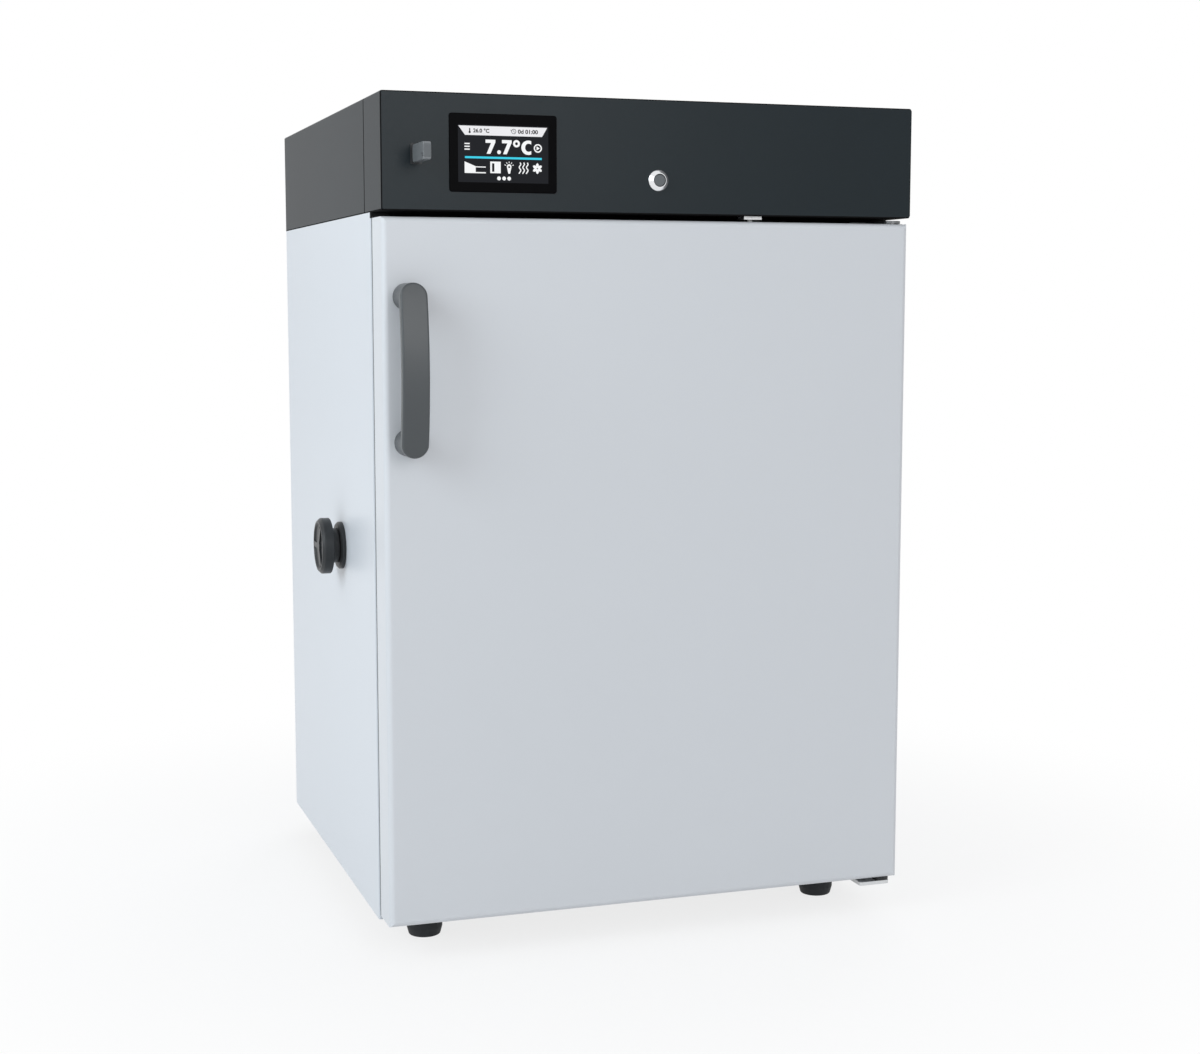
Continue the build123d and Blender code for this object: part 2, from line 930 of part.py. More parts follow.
with BuildPart() as chamber_fan_motor:
    motor_front = chamber_wheel_y + wheel_length + motor_gap
    with BuildSketch(front_plane(chamber_back)):
        with Locations((0, fan_z)):
            RectangleRounded(motor_plate_width, motor_plate_width, radius=motor_plate_corner)
    extrude(amount=motor_plate)
    with BuildSketch(front_plane(chamber_back - motor_plate)):
        with Locations((0, fan_z)):
            Circle(motor_radius)
    extrude(amount=chamber_back - motor_plate - motor_front)
    motor_rim = chamber_fan_motor.edges().filter_by(GeomType.CIRCLE).group_by(Axis.Y)[0]
    fillet(motor_rim, radius=motor_rounding)
    with BuildSketch(front_plane(motor_front)):
        with Locations((0, fan_z)):
            Circle(shaft_radius)
    extrude(amount=motor_gap + shaft_grip - seat_gap)
chamber_fan_motor.part.label = "chamber_fan_motor"
export_step(chamber_fan_motor.part, "parts/chamber_fan_motor.step")


def fin_coil(x0, x1, y_middle, z0, z1, depth_y, fins, tubes, tube_radius):
    """A fin-and-tube coil between two end plates, added to the part that is being built."""
    pitch_z = (z1 - z0) / tubes
    for row in range(tubes):
        with Locations(((x0 + x1) / 2, y_middle, z0 + (row + 0.5) * pitch_z)):
            Cylinder(tube_radius, x1 - x0, rotation=(0, 90, 0))
    for plate in range(fins + 2):
        ends = plate in (0, fins + 1)
        thickness = end_plate_thickness if ends else fin_thickness
        x = x0 + end_plate_thickness / 2 + plate * (x1 - x0 - end_plate_thickness) / (fins + 1)
        block(
            x - thickness / 2,
            x + thickness / 2,
            y_middle - depth_y / 2,
            y_middle + depth_y / 2,
            z0,
            z1,
        )


with BuildPart() as evaporator:
    fin_coil(
        -evaporator_width / 2,
        evaporator_width / 2,
        coil_y,
        evaporator_bottom,
        evaporator_top,
        evaporator_depth,
        evaporator_fins,
        evaporator_tubes,
        evaporator_tube_radius,
    )
    # A top strip carries the pipe ends, and two ears reach back to the chamber wall
    block(
        -evaporator_width / 2,
        evaporator_width / 2,
        coil_y - evaporator_depth / 2,
        coil_y + evaporator_depth / 2,
        evaporator_top,
        evaporator_top + end_plate_thickness,
    )
    for side in (-1, 1):
        ear = side * (evaporator_width - end_plate_thickness) / 2
        block(
            ear - end_plate_thickness / 2,
            ear + end_plate_thickness / 2,
            coil_y,
            chamber_back,
            evaporator_bottom + evaporator_height / 4,
            evaporator_top - evaporator_height / 4,
        )
evaporator.part.label = "evaporator"
export_step(evaporator.part, "parts/evaporator.step")

with BuildPart() as heater:
    heater_z = evaporator_top + heater_rise
    heater_y = duct_front + heater_setback
    with BuildLine() as heater_path:
        FilletPolyline(
            (-heater_half_width, chamber_back, heater_z),
            (-heater_half_width, heater_y, heater_z),
            (heater_half_width, heater_y, heater_z),
            (heater_half_width, chamber_back, heater_z),
            radius=heater_bend,
        )
    with BuildSketch(front_plane(chamber_back)):
        with Locations((-heater_half_width, heater_z)):
            Circle(heater_radius)
    sweep(path=heater_path.line)
heater.part.label = "heater"
export_step(heater.part, "parts/heater.step")

with BuildPart() as chamber_lamp:
    lamp_y = cabinet_front + lamp_setback + lamp_depth / 2
    with BuildSketch(Plane.YZ.offset(-lamp_length / 2)):
        with Locations((lamp_y, chamber_roof - lamp_height / 2)):
            Rectangle(lamp_depth, lamp_height)
    extrude(amount=lamp_length)
    fillet(chamber_lamp.edges().filter_by(Axis.X).group_by(Axis.Z)[0], radius=lamp_rounding)
chamber_lamp.part.label = "chamber_lamp"
export_step(chamber_lamp.part, "parts/chamber_lamp.step")

with BuildPart() as temperature_probe:
    probe_y = duct_front - probe_clip_depth / 2
    clip_top = chamber_roof - probe_drop
    with Locations((probe_across, probe_y, clip_top - probe_clip_height / 2)):
        Box(probe_clip_width, probe_clip_depth, probe_clip_height)
    with Locations((probe_across, probe_y, clip_top + probe_radius - probe_length / 2)):
        Cylinder(probe_radius, probe_length)
    probe_tip = temperature_probe.edges().filter_by(GeomType.CIRCLE).group_by(Axis.Z)[0]
    fillet(probe_tip, radius=probe_rounding)
temperature_probe.part.label = "temperature_probe"
export_step(temperature_probe.part, "parts/temperature_probe.step")

with BuildPart() as drain_tube:
    drain_y = chamber_back - drain_setback
    with BuildSketch(upright_plane(drain_across, drain_y)):
        with BuildLine():
            Polyline(
                (drain_bore, bay_top - drain_tail),
                (drain_radius, bay_top - drain_tail),
                (drain_radius, step_top),
                (drain_rim_radius, step_top),
                (drain_rim_radius, step_top + drain_rim),
                (drain_bore, step_top + drain_rim),
                close=True,
            )
        make_face()
    revolve(axis=Axis((drain_across, drain_y, 0), (0, 0, 1)))
drain_tube.part.label = "drain_tube"
export_step(drain_tube.part, "parts/drain_tube.step")

# Machine bay

compressor_y = back - compressor_setback
compressor_bottom = tray_top + compressor_rise
compressor_top = compressor_bottom + compressor_height

with BuildPart() as compressor:
    with Locations((compressor_x, compressor_y, compressor_bottom)):
        Cylinder(
            compressor_radius,
            compressor_height,
            align=(Align.CENTER, Align.CENTER, Align.MIN),
        )
    shell_rims = compressor.edges().filter_by(GeomType.CIRCLE).group_by(Axis.Z)
    fillet(shell_rims[-1], radius=compressor_top_rounding)
    shell_rims = compressor.edges().filter_by(GeomType.CIRCLE).group_by(Axis.Z)
    fillet(shell_rims[0], radius=compressor_bottom_rounding)
    seam_z = compressor_bottom + compressor_height / 2
    with Locations((compressor_x, compressor_y, seam_z)):
        Cylinder(compressor_seam_radius, compressor_seam_height)
    with BuildSketch(Plane.XY.offset(compressor_bottom)):
        with Locations((compressor_x, compressor_y)):
            RectangleRounded(compressor_foot_length, compressor_foot_width, radius=compressor_foot_corner)
            with GridLocations(mount_pitch_x, mount_pitch_y, 2, 2):
                Circle(mount_waist, mode=Mode.SUBTRACT)
    extrude(amount=compressor_foot_sheet)
    # Terminal cover on the side that faces the front
    terminal_y = compressor_y - compressor_radius
    block(
        compressor_x - terminal_width / 2,
        compressor_x + terminal_width / 2,
        terminal_y - terminal_depth / 2,
        terminal_y + terminal_depth,
        seam_z + compressor_seam_height,
        seam_z + compressor_seam_height + terminal_height,
    )
    # Copper stubs for the pipes
    liquid_stub = (compressor_y + liquid_stub_back, seam_z + liquid_stub_rise)
    suction_stub = (compressor_y, seam_z - suction_stub_drop)
    with BuildSketch(Plane.YZ.offset(compressor_x)):
        with Locations(liquid_stub, suction_stub):
            Circle(stub_radius)
    extrude(amount=stub_x - compressor_x)
compressor.part.label = "compressor"
export_step(compressor.part, "parts/compressor.step")

with BuildPart() as mount_form:
    grip = compressor_foot_sheet
    with BuildSketch(Plane.XZ):
        with BuildLine():
            Polyline(
                (0, 0),
                (mount_radius, 0),
                (mount_radius, compressor_rise),
                (mount_waist, compressor_rise),
                (mount_waist, compressor_rise + grip),
                (mount_radius, compressor_rise + grip),
                (mount_waist, compressor_rise + 2 * grip),
                (0, compressor_rise + 2 * grip),
                close=True,
            )
        make_face()
    revolve(axis=Axis.Z)

with BuildPart() as compressor_mounts:
    with Locations((compressor_x, compressor_y, tray_top)):
        with GridLocations(mount_pitch_x, mount_pitch_y, 2, 2):
            add(mount_form.part)
compressor_mounts.part.label = "compressor_mounts"
export_step(compressor_mounts.part, "parts/compressor_mounts.step")

with BuildPart() as drip_pan:
    with BuildSketch(Plane.XY.offset(compressor_top)):
        with Locations((compressor_x + pan_shift, compressor_y)):
            RectangleRounded(pan_length, pan_width, radius=pan_corner)
    extrude(amount=pan_height)
    offset(amount=-pan_wall, openings=drip_pan.faces().sort_by(Axis.Z)[-1])
drip_pan.part.label = "drip_pan"
export_step(drip_pan.part, "parts/drip_pan.step")

condenser_back = foam_back - condenser_back_gap
condenser_y = condenser_back - condenser_depth / 2
condenser_bottom = tray_top + condenser_foot
condenser_top = condenser_bottom + condenser_height

with BuildPart() as condenser:
    fin_coil(
        condenser_left,
        condenser_right,
        condenser_y,
        condenser_bottom,
        condenser_top,
        condenser_depth,
        condenser_fins,
        condenser_tubes,
        condenser_tube_radius,
    )
    # The end plates reach down to the tray
    for x in (condenser_left, condenser_right - end_plate_thickness):
        block(
            x,
            x + end_plate_thickness,
            condenser_y - condenser_depth / 2,
            condenser_back,
            tray_top,
            condenser_bottom,
        )
condenser.part.label = "condenser"
export_step(condenser.part, "parts/condenser.step")

cowl_x = (condenser_left + condenser_right) / 2
cowl_z = condenser_bottom + condenser_height / 2
cowl_back = condenser_y - condenser_depth / 2
cowl_front = cowl_back - cowl_depth
cowl_bore = wheel_tip_radius + cowl_bore_gap
cowl_wheel_y = cowl_back - cowl_wheel_inset

with BuildPart() as condenser_fan_frame:
    with BuildSketch(front_plane(cowl_back)):
        with Locations((cowl_x, cowl_z)):
            RectangleRounded(cowl_width, cowl_width, radius=cowl_corner)
            Circle(cowl_bore, mode=Mode.SUBTRACT)
    extrude(amount=cowl_depth)
    # Four struts carry the motor on the side away from the coil
    with BuildSketch(front_plane(cowl_front + cowl_strut)):
        with Locations((cowl_x, cowl_z)):
            Circle(wheel_hub_radius)
            with PolarLocations(0, 2, start_angle=45, angular_range=180):
                Rectangle(2 * cowl_bore + cowl_strut, cowl_strut)
    extrude(amount=cowl_strut)
    motor_back = cowl_wheel_y - wheel_length - motor_gap
    with BuildSketch(front_plane(motor_back)):
        with Locations((cowl_x, cowl_z)):
            Circle(wheel_hub_radius)
    extrude(amount=motor_back - cowl_front)
    with BuildSketch(front_plane(cowl_wheel_y - wheel_length + shaft_grip - seat_gap)):
        with Locations((cowl_x, cowl_z)):
            Circle(shaft_radius)
    extrude(amount=shaft_grip + motor_gap - seat_gap)
condenser_fan_frame.part.label = "condenser_fan_frame"
export_step(condenser_fan_frame.part, "parts/condenser_fan_frame.step")

with BuildPart() as condenser_fan_wheel:
    with Locations(Location((cowl_x, cowl_wheel_y, cowl_z), (90, 0, 0))):
        add(wheel_form)
condenser_fan_wheel.part.label = "condenser_fan_wheel"
export_step(condenser_fan_wheel.part, "parts/condenser_fan_wheel.step")

drier_top = drier_bottom + drier_length

with BuildPart() as filter_drier:
    with BuildSketch(upright_plane(drier_x, pipe_y)):
        with BuildLine():
            Polyline(
                (0, drier_bottom),
                (drier_neck_radius, drier_bottom),
                (drier_radius, drier_bottom + drier_neck),
                (drier_radius, drier_top - drier_neck),
                (drier_neck_radius, drier_top),
                (0, drier_top),
                close=True,
            )
        make_face()
    revolve(axis=Axis((drier_x, pipe_y, 0), (0, 0, 1)))
filter_drier.part.label = "filter_drier"
export_step(filter_drier.part, "parts/filter_drier.step")

gas_x = stub_x + gas_reach
suction_x = stub_x + suction_reach
condenser_port_inset = condenser_height / (2 * condenser_tubes)
liquid_in_z = condenser_top - condenser_port_inset
liquid_out_z = condenser_bottom + condenser_port_inset
gas_y = condenser_y - gas_setback
suction_y = foam_back - suction_back_gap
suction_run_z = bay_top - suction_drop
strip_top = evaporator_top + end_plate_thickness

gas_route = [
    (stub_x, *liquid_stub),
    (gas_x, *liquid_stub),
    (gas_x, gas_y, liquid_stub[1]),
    (gas_x, gas_y, liquid_in_z),
    (condenser_left, gas_y, liquid_in_z),
]
liquid_route = [
    (condenser_left, pipe_y, liquid_out_z),
    (drier_x, pipe_y, liquid_out_z),
    (drier_x, pipe_y, drier_bottom),
]
expansion_route = [
    (drier_x, pipe_y, drier_top),
    (drier_x, pipe_y, liquid_hole_z),
    (drier_x, coil_y, liquid_hole_z),
    (drier_x, coil_y, strip_top),
]
suction_route = [
    (riser_x, coil_y, strip_top),
    (riser_x, coil_y, suction_hole_z),
    (riser_x, suction_y, suction_hole_z),
    (riser_x, suction_y, suction_run_z),
    (suction_x, suction_y, suction_run_z),
    (suction_x, suction_y, suction_stub[1]),
    (suction_x, suction_stub[0], suction_stub[1]),
    (stub_x, *suction_stub),
]

with BuildPart() as refrigerant_pipes:
    for route, radius in (
        (gas_route, pipe_radius),
        (liquid_route, pipe_radius),
        (expansion_route, pipe_radius),
        (suction_route, suction_radius),
    ):
        with BuildLine() as pipe_path:
            FilletPolyline(*route, radius=pipe_bend)
        first, second = Vector(*route[0]), Vector(*route[1])
        with BuildSketch(Plane(origin=route[0], z_dir=second - first)):
            Circle(radius)
        sweep(path=pipe_path.line)
refrigerant_pipes.part.label = "refrigerant_pipes"
export_step(refrigerant_pipes.part, "parts/refrigerant_pipes.step")

# Door

with BuildPart() as door_panel:
    with BuildSketch(front_plane(door_back)):
        with Locations((door_middle_x, door_middle_z)):
            Rectangle(door_width, door_height)
    extrude(amount=door_thickness)
    fillet(door_panel.edges().group_by(Axis.Y)[0], radius=door_edge_radius)
    offset(amount=-door_skin, openings=door_panel.faces().sort_by(Axis.Y)[-1])
    with Locations((hinge_x, hinge_y, door_middle_z)):
        Cylinder(bush_radius, 2 * door_height, mode=Mode.SUBTRACT)
door_panel.part.label = "door_panel"
export_step(door_panel.part, "parts/door_panel.step")

foam_left, foam_right = left + door_skin, door_right - door_skin
foam_bottom, foam_top = door_bottom + door_skin, door_top - door_skin
plug_width = chamber_width - 2 * plug_margin
plug_height = chamber_height - 2 * plug_margin
foam_plug_y = door_back + plug_rise - plug_skin
flange_y = door_back - plug_skin
bush_length = hinge_pin_grip + bush_floor

with BuildPart() as door_insulation:
    with BuildSketch(front_plane(flange_y)):
        with Locations(((foam_left + foam_right) / 2, (foam_bottom + foam_top) / 2)):
            Rectangle(foam_right - foam_left, foam_top - foam_bottom)
    extrude(amount=flange_y - front - door_skin)
    fillet(
        door_insulation.edges().group_by(Axis.Y)[0],
        radius=door_edge_radius - door_skin,
    )
    with BuildSketch(front_plane(foam_plug_y)):
        with Locations((0, chamber_middle_z)):
            RectangleRounded(
                plug_width - 2 * plug_skin,
                plug_height - 2 * plug_skin,
                radius=plug_rounding - plug_skin,
            )
    extrude(amount=foam_plug_y - flange_y)
    for z in (door_bottom + bush_length / 2, door_top - bush_length / 2):
        with Locations((hinge_x, hinge_y, z)):
            Cylinder(bush_radius, bush_length, mode=Mode.SUBTRACT)
door_insulation.part.label = "door_insulation"
export_step(door_insulation.part, "parts/door_insulation.step")

with BuildPart() as door_liner:
    with BuildSketch(front_plane(door_back)):
        with Locations(((foam_left + foam_right) / 2, (foam_bottom + foam_top) / 2)):
            Rectangle(foam_right - foam_left, foam_top - foam_bottom)
    extrude(amount=plug_skin)
    with BuildSketch(front_plane(door_back + plug_rise)):
        with Locations((0, chamber_middle_z)):
            RectangleRounded(plug_width, plug_height, radius=plug_rounding)
    extrude(amount=plug_rise)
    with BuildSketch(front_plane(foam_plug_y)):
        with Locations((0, chamber_middle_z)):
            RectangleRounded(
                plug_width - 2 * plug_skin,
                plug_height - 2 * plug_skin,
                radius=plug_rounding - plug_skin,
            )
    extrude(amount=plug_rise + plug_skin, mode=Mode.SUBTRACT)
    fillet(door_liner.edges().group_by(Axis.Y)[-1], radius=plug_skin)
door_liner.part.label = "door_liner"
export_step(door_liner.part, "parts/door_liner.step")

with BuildPart() as door_gasket:
    seal_inner_width = chamber_width + 2 * seal_overlap
    seal_inner_height = chamber_height + 2 * seal_overlap

    # A wide lip against the door, and a narrower bulb that meets the cabinet
    for ring_back, ring_inset, ring_width, ring_height in (
        (door_back + seal_lip, 0, seal_width, seal_lip),
        (
            cabinet_front - seat_gap,
            (seal_width - seal_bulb_width) / 2,
            seal_bulb_width,
            seal_gap - seat_gap - seal_lip,
        ),
    ):
        with BuildSketch(front_plane(ring_back)):
            with Locations((0, chamber_middle_z)):
                RectangleRounded(
                    seal_inner_width + 2 * (ring_inset + ring_width),
                    seal_inner_height + 2 * (ring_inset + ring_width),
                    radius=seal_corner_radius,
                )
                Rectangle(
                    seal_inner_width + 2 * ring_inset,
                    seal_inner_height + 2 * ring_inset,
                    mode=Mode.SUBTRACT,
                )
        extrude(amount=ring_height)
    fillet(door_gasket.edges().group_by(Axis.Y)[-1], radius=seal_rounding)
door_gasket.part.label = "door_gasket"
export_step(door_gasket.part, "parts/door_gasket.step")

# Handle

half_grip = handle_length / 2
bow_radius = (half_grip**2 + handle_bow**2) / (2 * handle_bow)
grip_front = front - handle_reach
bow_centre_y = grip_front + bow_radius

with BuildPart() as handle_bar:
    with BuildSketch(front_plane(front)):
        with Locations((handle_x, handle_z)):
            SlotOverall(handle_length, handle_width, rotation=90)
    extrude(amount=2 * handle_reach)
    with BuildSketch(Plane.YZ.offset(handle_x - handle_width)):
        with Locations((bow_centre_y, handle_z)):
            Circle(bow_radius)
            Circle(bow_radius - handle_thickness, mode=Mode.SUBTRACT)
        with Locations((front, handle_z)):
            Rectangle(2 * handle_reach, handle_length + handle_bow, mode=Mode.INTERSECT)
    extrude(amount=2 * handle_width, mode=Mode.INTERSECT)
    face_edges = handle_bar.faces().sort_by(Axis.Y)[0].edges()
    fillet(face_edges, radius=handle_edge)
handle_bar.part.label = "handle_bar"
export_step(handle_bar.part, "parts/handle_bar.step")

with BuildPart() as handle_posts:
    with BuildSketch(front_plane(front)):
        with Locations((handle_x, handle_z)):
            with GridLocations(1, handle_post_pitch, 1, 2):
                Circle(handle_post_radius)
    extrude(amount=handle_reach)
    with BuildSketch(Plane.YZ.offset(handle_x - handle_width)):
        with Locations((bow_centre_y, handle_z)):
            Circle(bow_radius - handle_thickness)
    extrude(amount=2 * handle_width, mode=Mode.INTERSECT)
handle_posts.part.label = "handle_posts"
export_step(handle_posts.part, "parts/handle_posts.step")

# Hinges


def hinge_screw_holes(places, thickness):
    """Countersunk holes through a hinge leg that lies on the face of the cabinet."""
    for x, z in places:
        with Locations(Location((x, cabinet_front - thickness, z), (90, 0, 0))):
            CounterSinkHole(
                hinge_screw_radius + screw_fit,
                hinge_screw_head_radius + screw_fit,
                depth=thickness,
            )


with BuildPart() as hinge_plate_top:
    # A flat arm reaches over the door to the pin, and a leg lies on the face of the cabinet
    with BuildSketch(Plane.XY.offset(plate_bottom)):
        with Locations((hinge_x, (hinge_y + cabinet_front) / 2)):
            Rectangle(hinge_plate_width, cabinet_front - hinge_y)
        with Locations((hinge_x, hinge_y)):
            Circle(hinge_plate_width / 2)
    extrude(amount=hinge_plate)
    with BuildSketch(front_plane(cabinet_front)):
        with Locations((leg_middle_x, plate_top - hinge_leg / 2)):
            Rectangle(hinge_leg_width, hinge_leg)
    extrude(amount=hinge_plate)
    with Locations((hinge_x, hinge_y, plate_top)):
        Cylinder(hinge_pin_radius, 4 * hinge_plate, mode=Mode.SUBTRACT)
    hinge_screw_holes(top_screws, hinge_plate)
hinge_plate_top.part.label = "hinge_plate_top"
export_step(hinge_plate_top.part, "parts/hinge_plate_top.step")

with BuildPart() as hinge_bracket_bottom:
    bracket_front = hinge_y - bracket_front_reach
    bracket_width = bracket_left_reach + bracket_right_reach
    with BuildSketch(Plane.XY.offset(bracket_bottom)):
        with Locations((bracket_middle_x, (bracket_front + cabinet_front) / 2)):
            Rectangle(bracket_width, cabinet_front - bracket_front)
    extrude(amount=bracket_plate)
    fillet(hinge_bracket_bottom.edges().filter_by(Axis.Z).group_by(Axis.Y)[0], radius=bracket_corner)
    with BuildSketch(front_plane(cabinet_front)):
        with Locations((bracket_middle_x, bracket_top + bracket_leg / 2)):
            Rectangle(bracket_width, bracket_leg)
    extrude(amount=bracket_plate)
    with Locations((hinge_x, hinge_y, bracket_top)):
        Cylinder(hinge_pin_radius, 4 * bracket_plate, mode=Mode.SUBTRACT)
    hinge_screw_holes(bottom_screws, bracket_plate)
hinge_bracket_bottom.part.label = "hinge_bracket_bottom"
export_step(hinge_bracket_bottom.part, "parts/hinge_bracket_bottom.step")

top_pin = (door_top - hinge_pin_grip, plate_top)
bottom_pin = (bracket_bottom, door_bottom + hinge_pin_grip)

with BuildPart() as hinge_pins:
    for low, high in (top_pin, bottom_pin):
        with Locations((hinge_x, hinge_y, low)):
            Cylinder(hinge_pin_radius, high - low, align=(Align.CENTER, Align.CENTER, Align.MIN))
    chamfer(hinge_pins.edges().filter_by(GeomType.CIRCLE).group_by(Axis.Z)[-2], length=hinge_pin_chamfer)
hinge_pins.part.label = "hinge_pins"
export_step(hinge_pins.part, "parts/hinge_pins.step")

with BuildPart() as hinge_screws:
    for places, thickness in ((top_screws, hinge_plate), (bottom_screws, bracket_plate)):
        cone = hinge_screw_head_radius - hinge_screw_radius
        for x, z in places:
            with Locations(Location((x, cabinet_front - thickness, z), (90, 0, 0))):
                Cone(
                    hinge_screw_radius,
                    hinge_screw_head_radius,
                    cone,
                    align=(Align.CENTER, Align.CENTER, Align.MAX),
                )
                Cylinder(
                    hinge_screw_radius,
                    thickness + sheet,
                    align=(Align.CENTER, Align.CENTER, Align.MAX),
                )
hinge_screws.part.label = "hinge_screws"
export_step(hinge_screws.part, "parts/hinge_screws.step")

with BuildPart() as door_bushes:
    with Locations((hinge_x, hinge_y, door_bottom)):
        Cylinder(bush_radius, bush_length, align=(Align.CENTER, Align.CENTER, Align.MIN))
        Cylinder(bush_flange_radius, bush_flange, align=(Align.CENTER, Align.CENTER, Align.MAX))
    with Locations((hinge_x, hinge_y, door_top)):
        Cylinder(bush_radius, bush_length, align=(Align.CENTER, Align.CENTER, Align.MAX))
    with Locations((hinge_x, hinge_y, door_bottom - bush_flange)):
        Cylinder(
            hinge_pin_radius + bush_running_gap,
            bush_flange + hinge_pin_grip + bush_end_gap,
            align=(Align.CENTER, Align.CENTER, Align.MIN),
            mode=Mode.SUBTRACT,
        )
    with Locations((hinge_x, hinge_y, door_top)):
        Cylinder(
            hinge_pin_radius + bush_running_gap,
            hinge_pin_grip + bush_end_gap,
            align=(Align.CENTER, Align.CENTER, Align.MAX),
            mode=Mode.SUBTRACT,
        )
door_bushes.part.label = "door_bushes"
export_step(door_bushes.part, "parts/door_bushes.step")

# Head

frame_front = front + fascia_sheet
frame_back = front + fascia_reach
head_middle_z = (cabinet_top + height) / 2
switch_hole_width = switch_body_width + 2 * seat_gap
switch_hole_depth = switch_body_depth + 2 * seat_gap

with BuildPart() as head_floor:
    floor_front = frame_back + head_seam
    floor_back = back - sheet
    with BuildSketch(Plane.XY.offset(cabinet_top)):
        with Locations((0, (floor_front + floor_back) / 2)):
            Rectangle(inner_width, floor_back - floor_front)
    extrude(amount=frame_sheet)
    fillet(head_floor.edges().filter_by(Axis.Z).group_by(Axis.Y)[-1], radius=fold_radius)
head_floor.part.label = "head_floor"
export_step(head_floor.part, "parts/head_floor.step")

with BuildPart() as head_cover:
    cover_front = frame_back + head_seam
    with BuildSketch(Plane.XY.offset(cabinet_top)):
        with Locations((0, (cover_front + back) / 2)):
            Rectangle(width, back - cover_front)
    extrude(amount=head_height)
    fillet(head_cover.edges().filter_by(Axis.Y).group_by(Axis.Z)[-1], radius=fold_radius)
    fillet(head_cover.edges().filter_by(Axis.Z).group_by(Axis.Y)[-1], radius=fold_radius)
    offset(
        amount=-sheet,
        openings=[
            head_cover.faces().sort_by(Axis.Z)[0],
            head_cover.faces().sort_by(Axis.Y)[0],
        ],
    )
    # Cut-outs for the mains inlet and for the warm air at the back
    with BuildSketch(front_plane(back)):
        with Locations((inlet_x, inlet_z)):
            Rectangle(inlet_body_width, inlet_body_height)
        with Locations((vent_across, head_middle_z)):
            with GridLocations(1, vent_pitch, 1, vent_rows):
                SlotOverall(vent_width, vent_height)
    extrude(amount=sheet, mode=Mode.SUBTRACT)
head_cover.part.label = "head_cover"
export_step(head_cover.part, "parts/head_cover.step")

with BuildPart() as fascia_frame:
    with BuildSketch(front_plane(frame_back)):
        with Locations((0, head_middle_z)):
            RectangleRounded(width, head_height, radius=fold_radius)
            Rectangle(width - 2 * frame_sheet, head_height - 2 * frame_sheet, mode=Mode.SUBTRACT)
    extrude(amount=frame_back - frame_front)
    with Locations((switch_x, switch_y, cabinet_top)):
        Box(switch_hole_width, switch_hole_depth, 4 * frame_sheet, mode=Mode.SUBTRACT)
fascia_frame.part.label = "fascia_frame"
export_step(fascia_frame.part, "parts/fascia_frame.step")

display_body_width = display_width - 2 * display_body_margin
display_body_height = display_height - 2 * display_body_margin

with BuildPart() as fascia_plate:
    with BuildSketch(front_plane(frame_front)) as plate_outline:
        with Locations((0, head_middle_z)):
            Rectangle(width, head_height)
        chamfer(plate_outline.vertices().group_by(Axis.Z)[0], length=fascia_corner)
    extrude(amount=fascia_sheet)
    chamfer(fascia_plate.edges().group_by(Axis.Y)[0], length=fascia_rounding)
    with BuildSketch(front_plane(frame_front)):
        with Locations((display_x, display_z)):
            Rectangle(display_body_width, display_body_height)
        with Locations((0, button_z)):
            Circle(ring_thread_radius)
        with Locations((drive_x, drive_z)):
            Rectangle(socket_thickness - 2 * socket_rim, socket_height - 2 * socket_rim)
    extrude(amount=fascia_sheet, mode=Mode.SUBTRACT)
fascia_plate.part.label = "fascia_plate"
export_step(fascia_plate.part, "parts/fascia_plate.step")

with BuildPart() as display_bezel:
    bezel_front = front - display_proud
    with BuildSketch(front_plane(front)):
        with Locations((display_x, display_z)):
            RectangleRounded(display_width, display_height, radius=display_corner)
    extrude(amount=display_proud)
    fillet(display_bezel.edges().group_by(Axis.Y)[0], radius=display_proud / 2)
    with BuildSketch(front_plane(front + display_body_depth)):
        with Locations((display_x, display_z)):
            Rectangle(display_body_width, display_body_height)
    extrude(amount=display_body_depth)
    with BuildSketch(front_plane(bezel_front + screen_glass + screen_sunk)):
        with Locations((display_x, height - screen_down)):
            Rectangle(screen_width, screen_height)
    extrude(amount=screen_glass + screen_sunk, mode=Mode.SUBTRACT)
display_bezel.part.label = "display_bezel"
export_step(display_bezel.part, "parts/display_bezel.step")

with BuildPart() as display_screen:
    with BuildSketch(front_plane(bezel_front + screen_glass + screen_sunk)):
        with Locations((display_x, height - screen_down)):
            Rectangle(screen_width, screen_height)
    extrude(amount=screen_glass)
display_screen.part.label = "display_screen"
export_step(display_screen.part, "parts/display_screen.step")

# Turned pieces on the head have their axis along Y, through the middle of their hole
button_axis = Axis((0, 0, button_z), (0, 1, 0))

with BuildPart() as button_ring:
    # A conical ring with a thread and a nut behind the plate
    bore = button_z + button_radius + slide_gap
    with BuildSketch(Plane.YZ):
        with BuildLine():
            Polyline(
                (front - ring_proud, bore),
                (front - ring_proud, button_z + ring_rim_radius),
                (front, button_z + ring_radius),
                (front, button_z + ring_thread_radius),
                (frame_front, button_z + ring_thread_radius),
                (frame_front, button_z + nut_radius),
                (frame_front + nut_thickness, button_z + nut_radius),
                (frame_front + nut_thickness, button_z + ring_thread_radius),
                (front + ring_length, button_z + ring_thread_radius),
                (front + ring_length, bore),
                close=True,
            )
        make_face()
    revolve(axis=button_axis)
button_ring.part.label = "button_ring"
export_step(button_ring.part, "parts/button_ring.step")

with BuildPart() as power_button:
    # The cap is slightly domed, and a shoulder behind the ring keeps it in
    button_front = front - button_proud
    button_back = front + ring_length + seat_gap
    with BuildSketch(Plane.YZ):
        with BuildLine():
            Polyline(
                (button_front, button_z),
                (button_front, button_z + button_radius - button_rounding),
                (button_front + button_rounding, button_z + button_radius),
                (button_back, button_z + button_radius),
                (button_back, button_z + ring_thread_radius),
                (button_back + button_collar, button_z + ring_thread_radius),
                (button_back + button_collar, button_z),
                close=True,
            )
        make_face()
    revolve(axis=button_axis)
power_button.part.label = "power_button"
export_step(power_button.part, "parts/power_button.step")

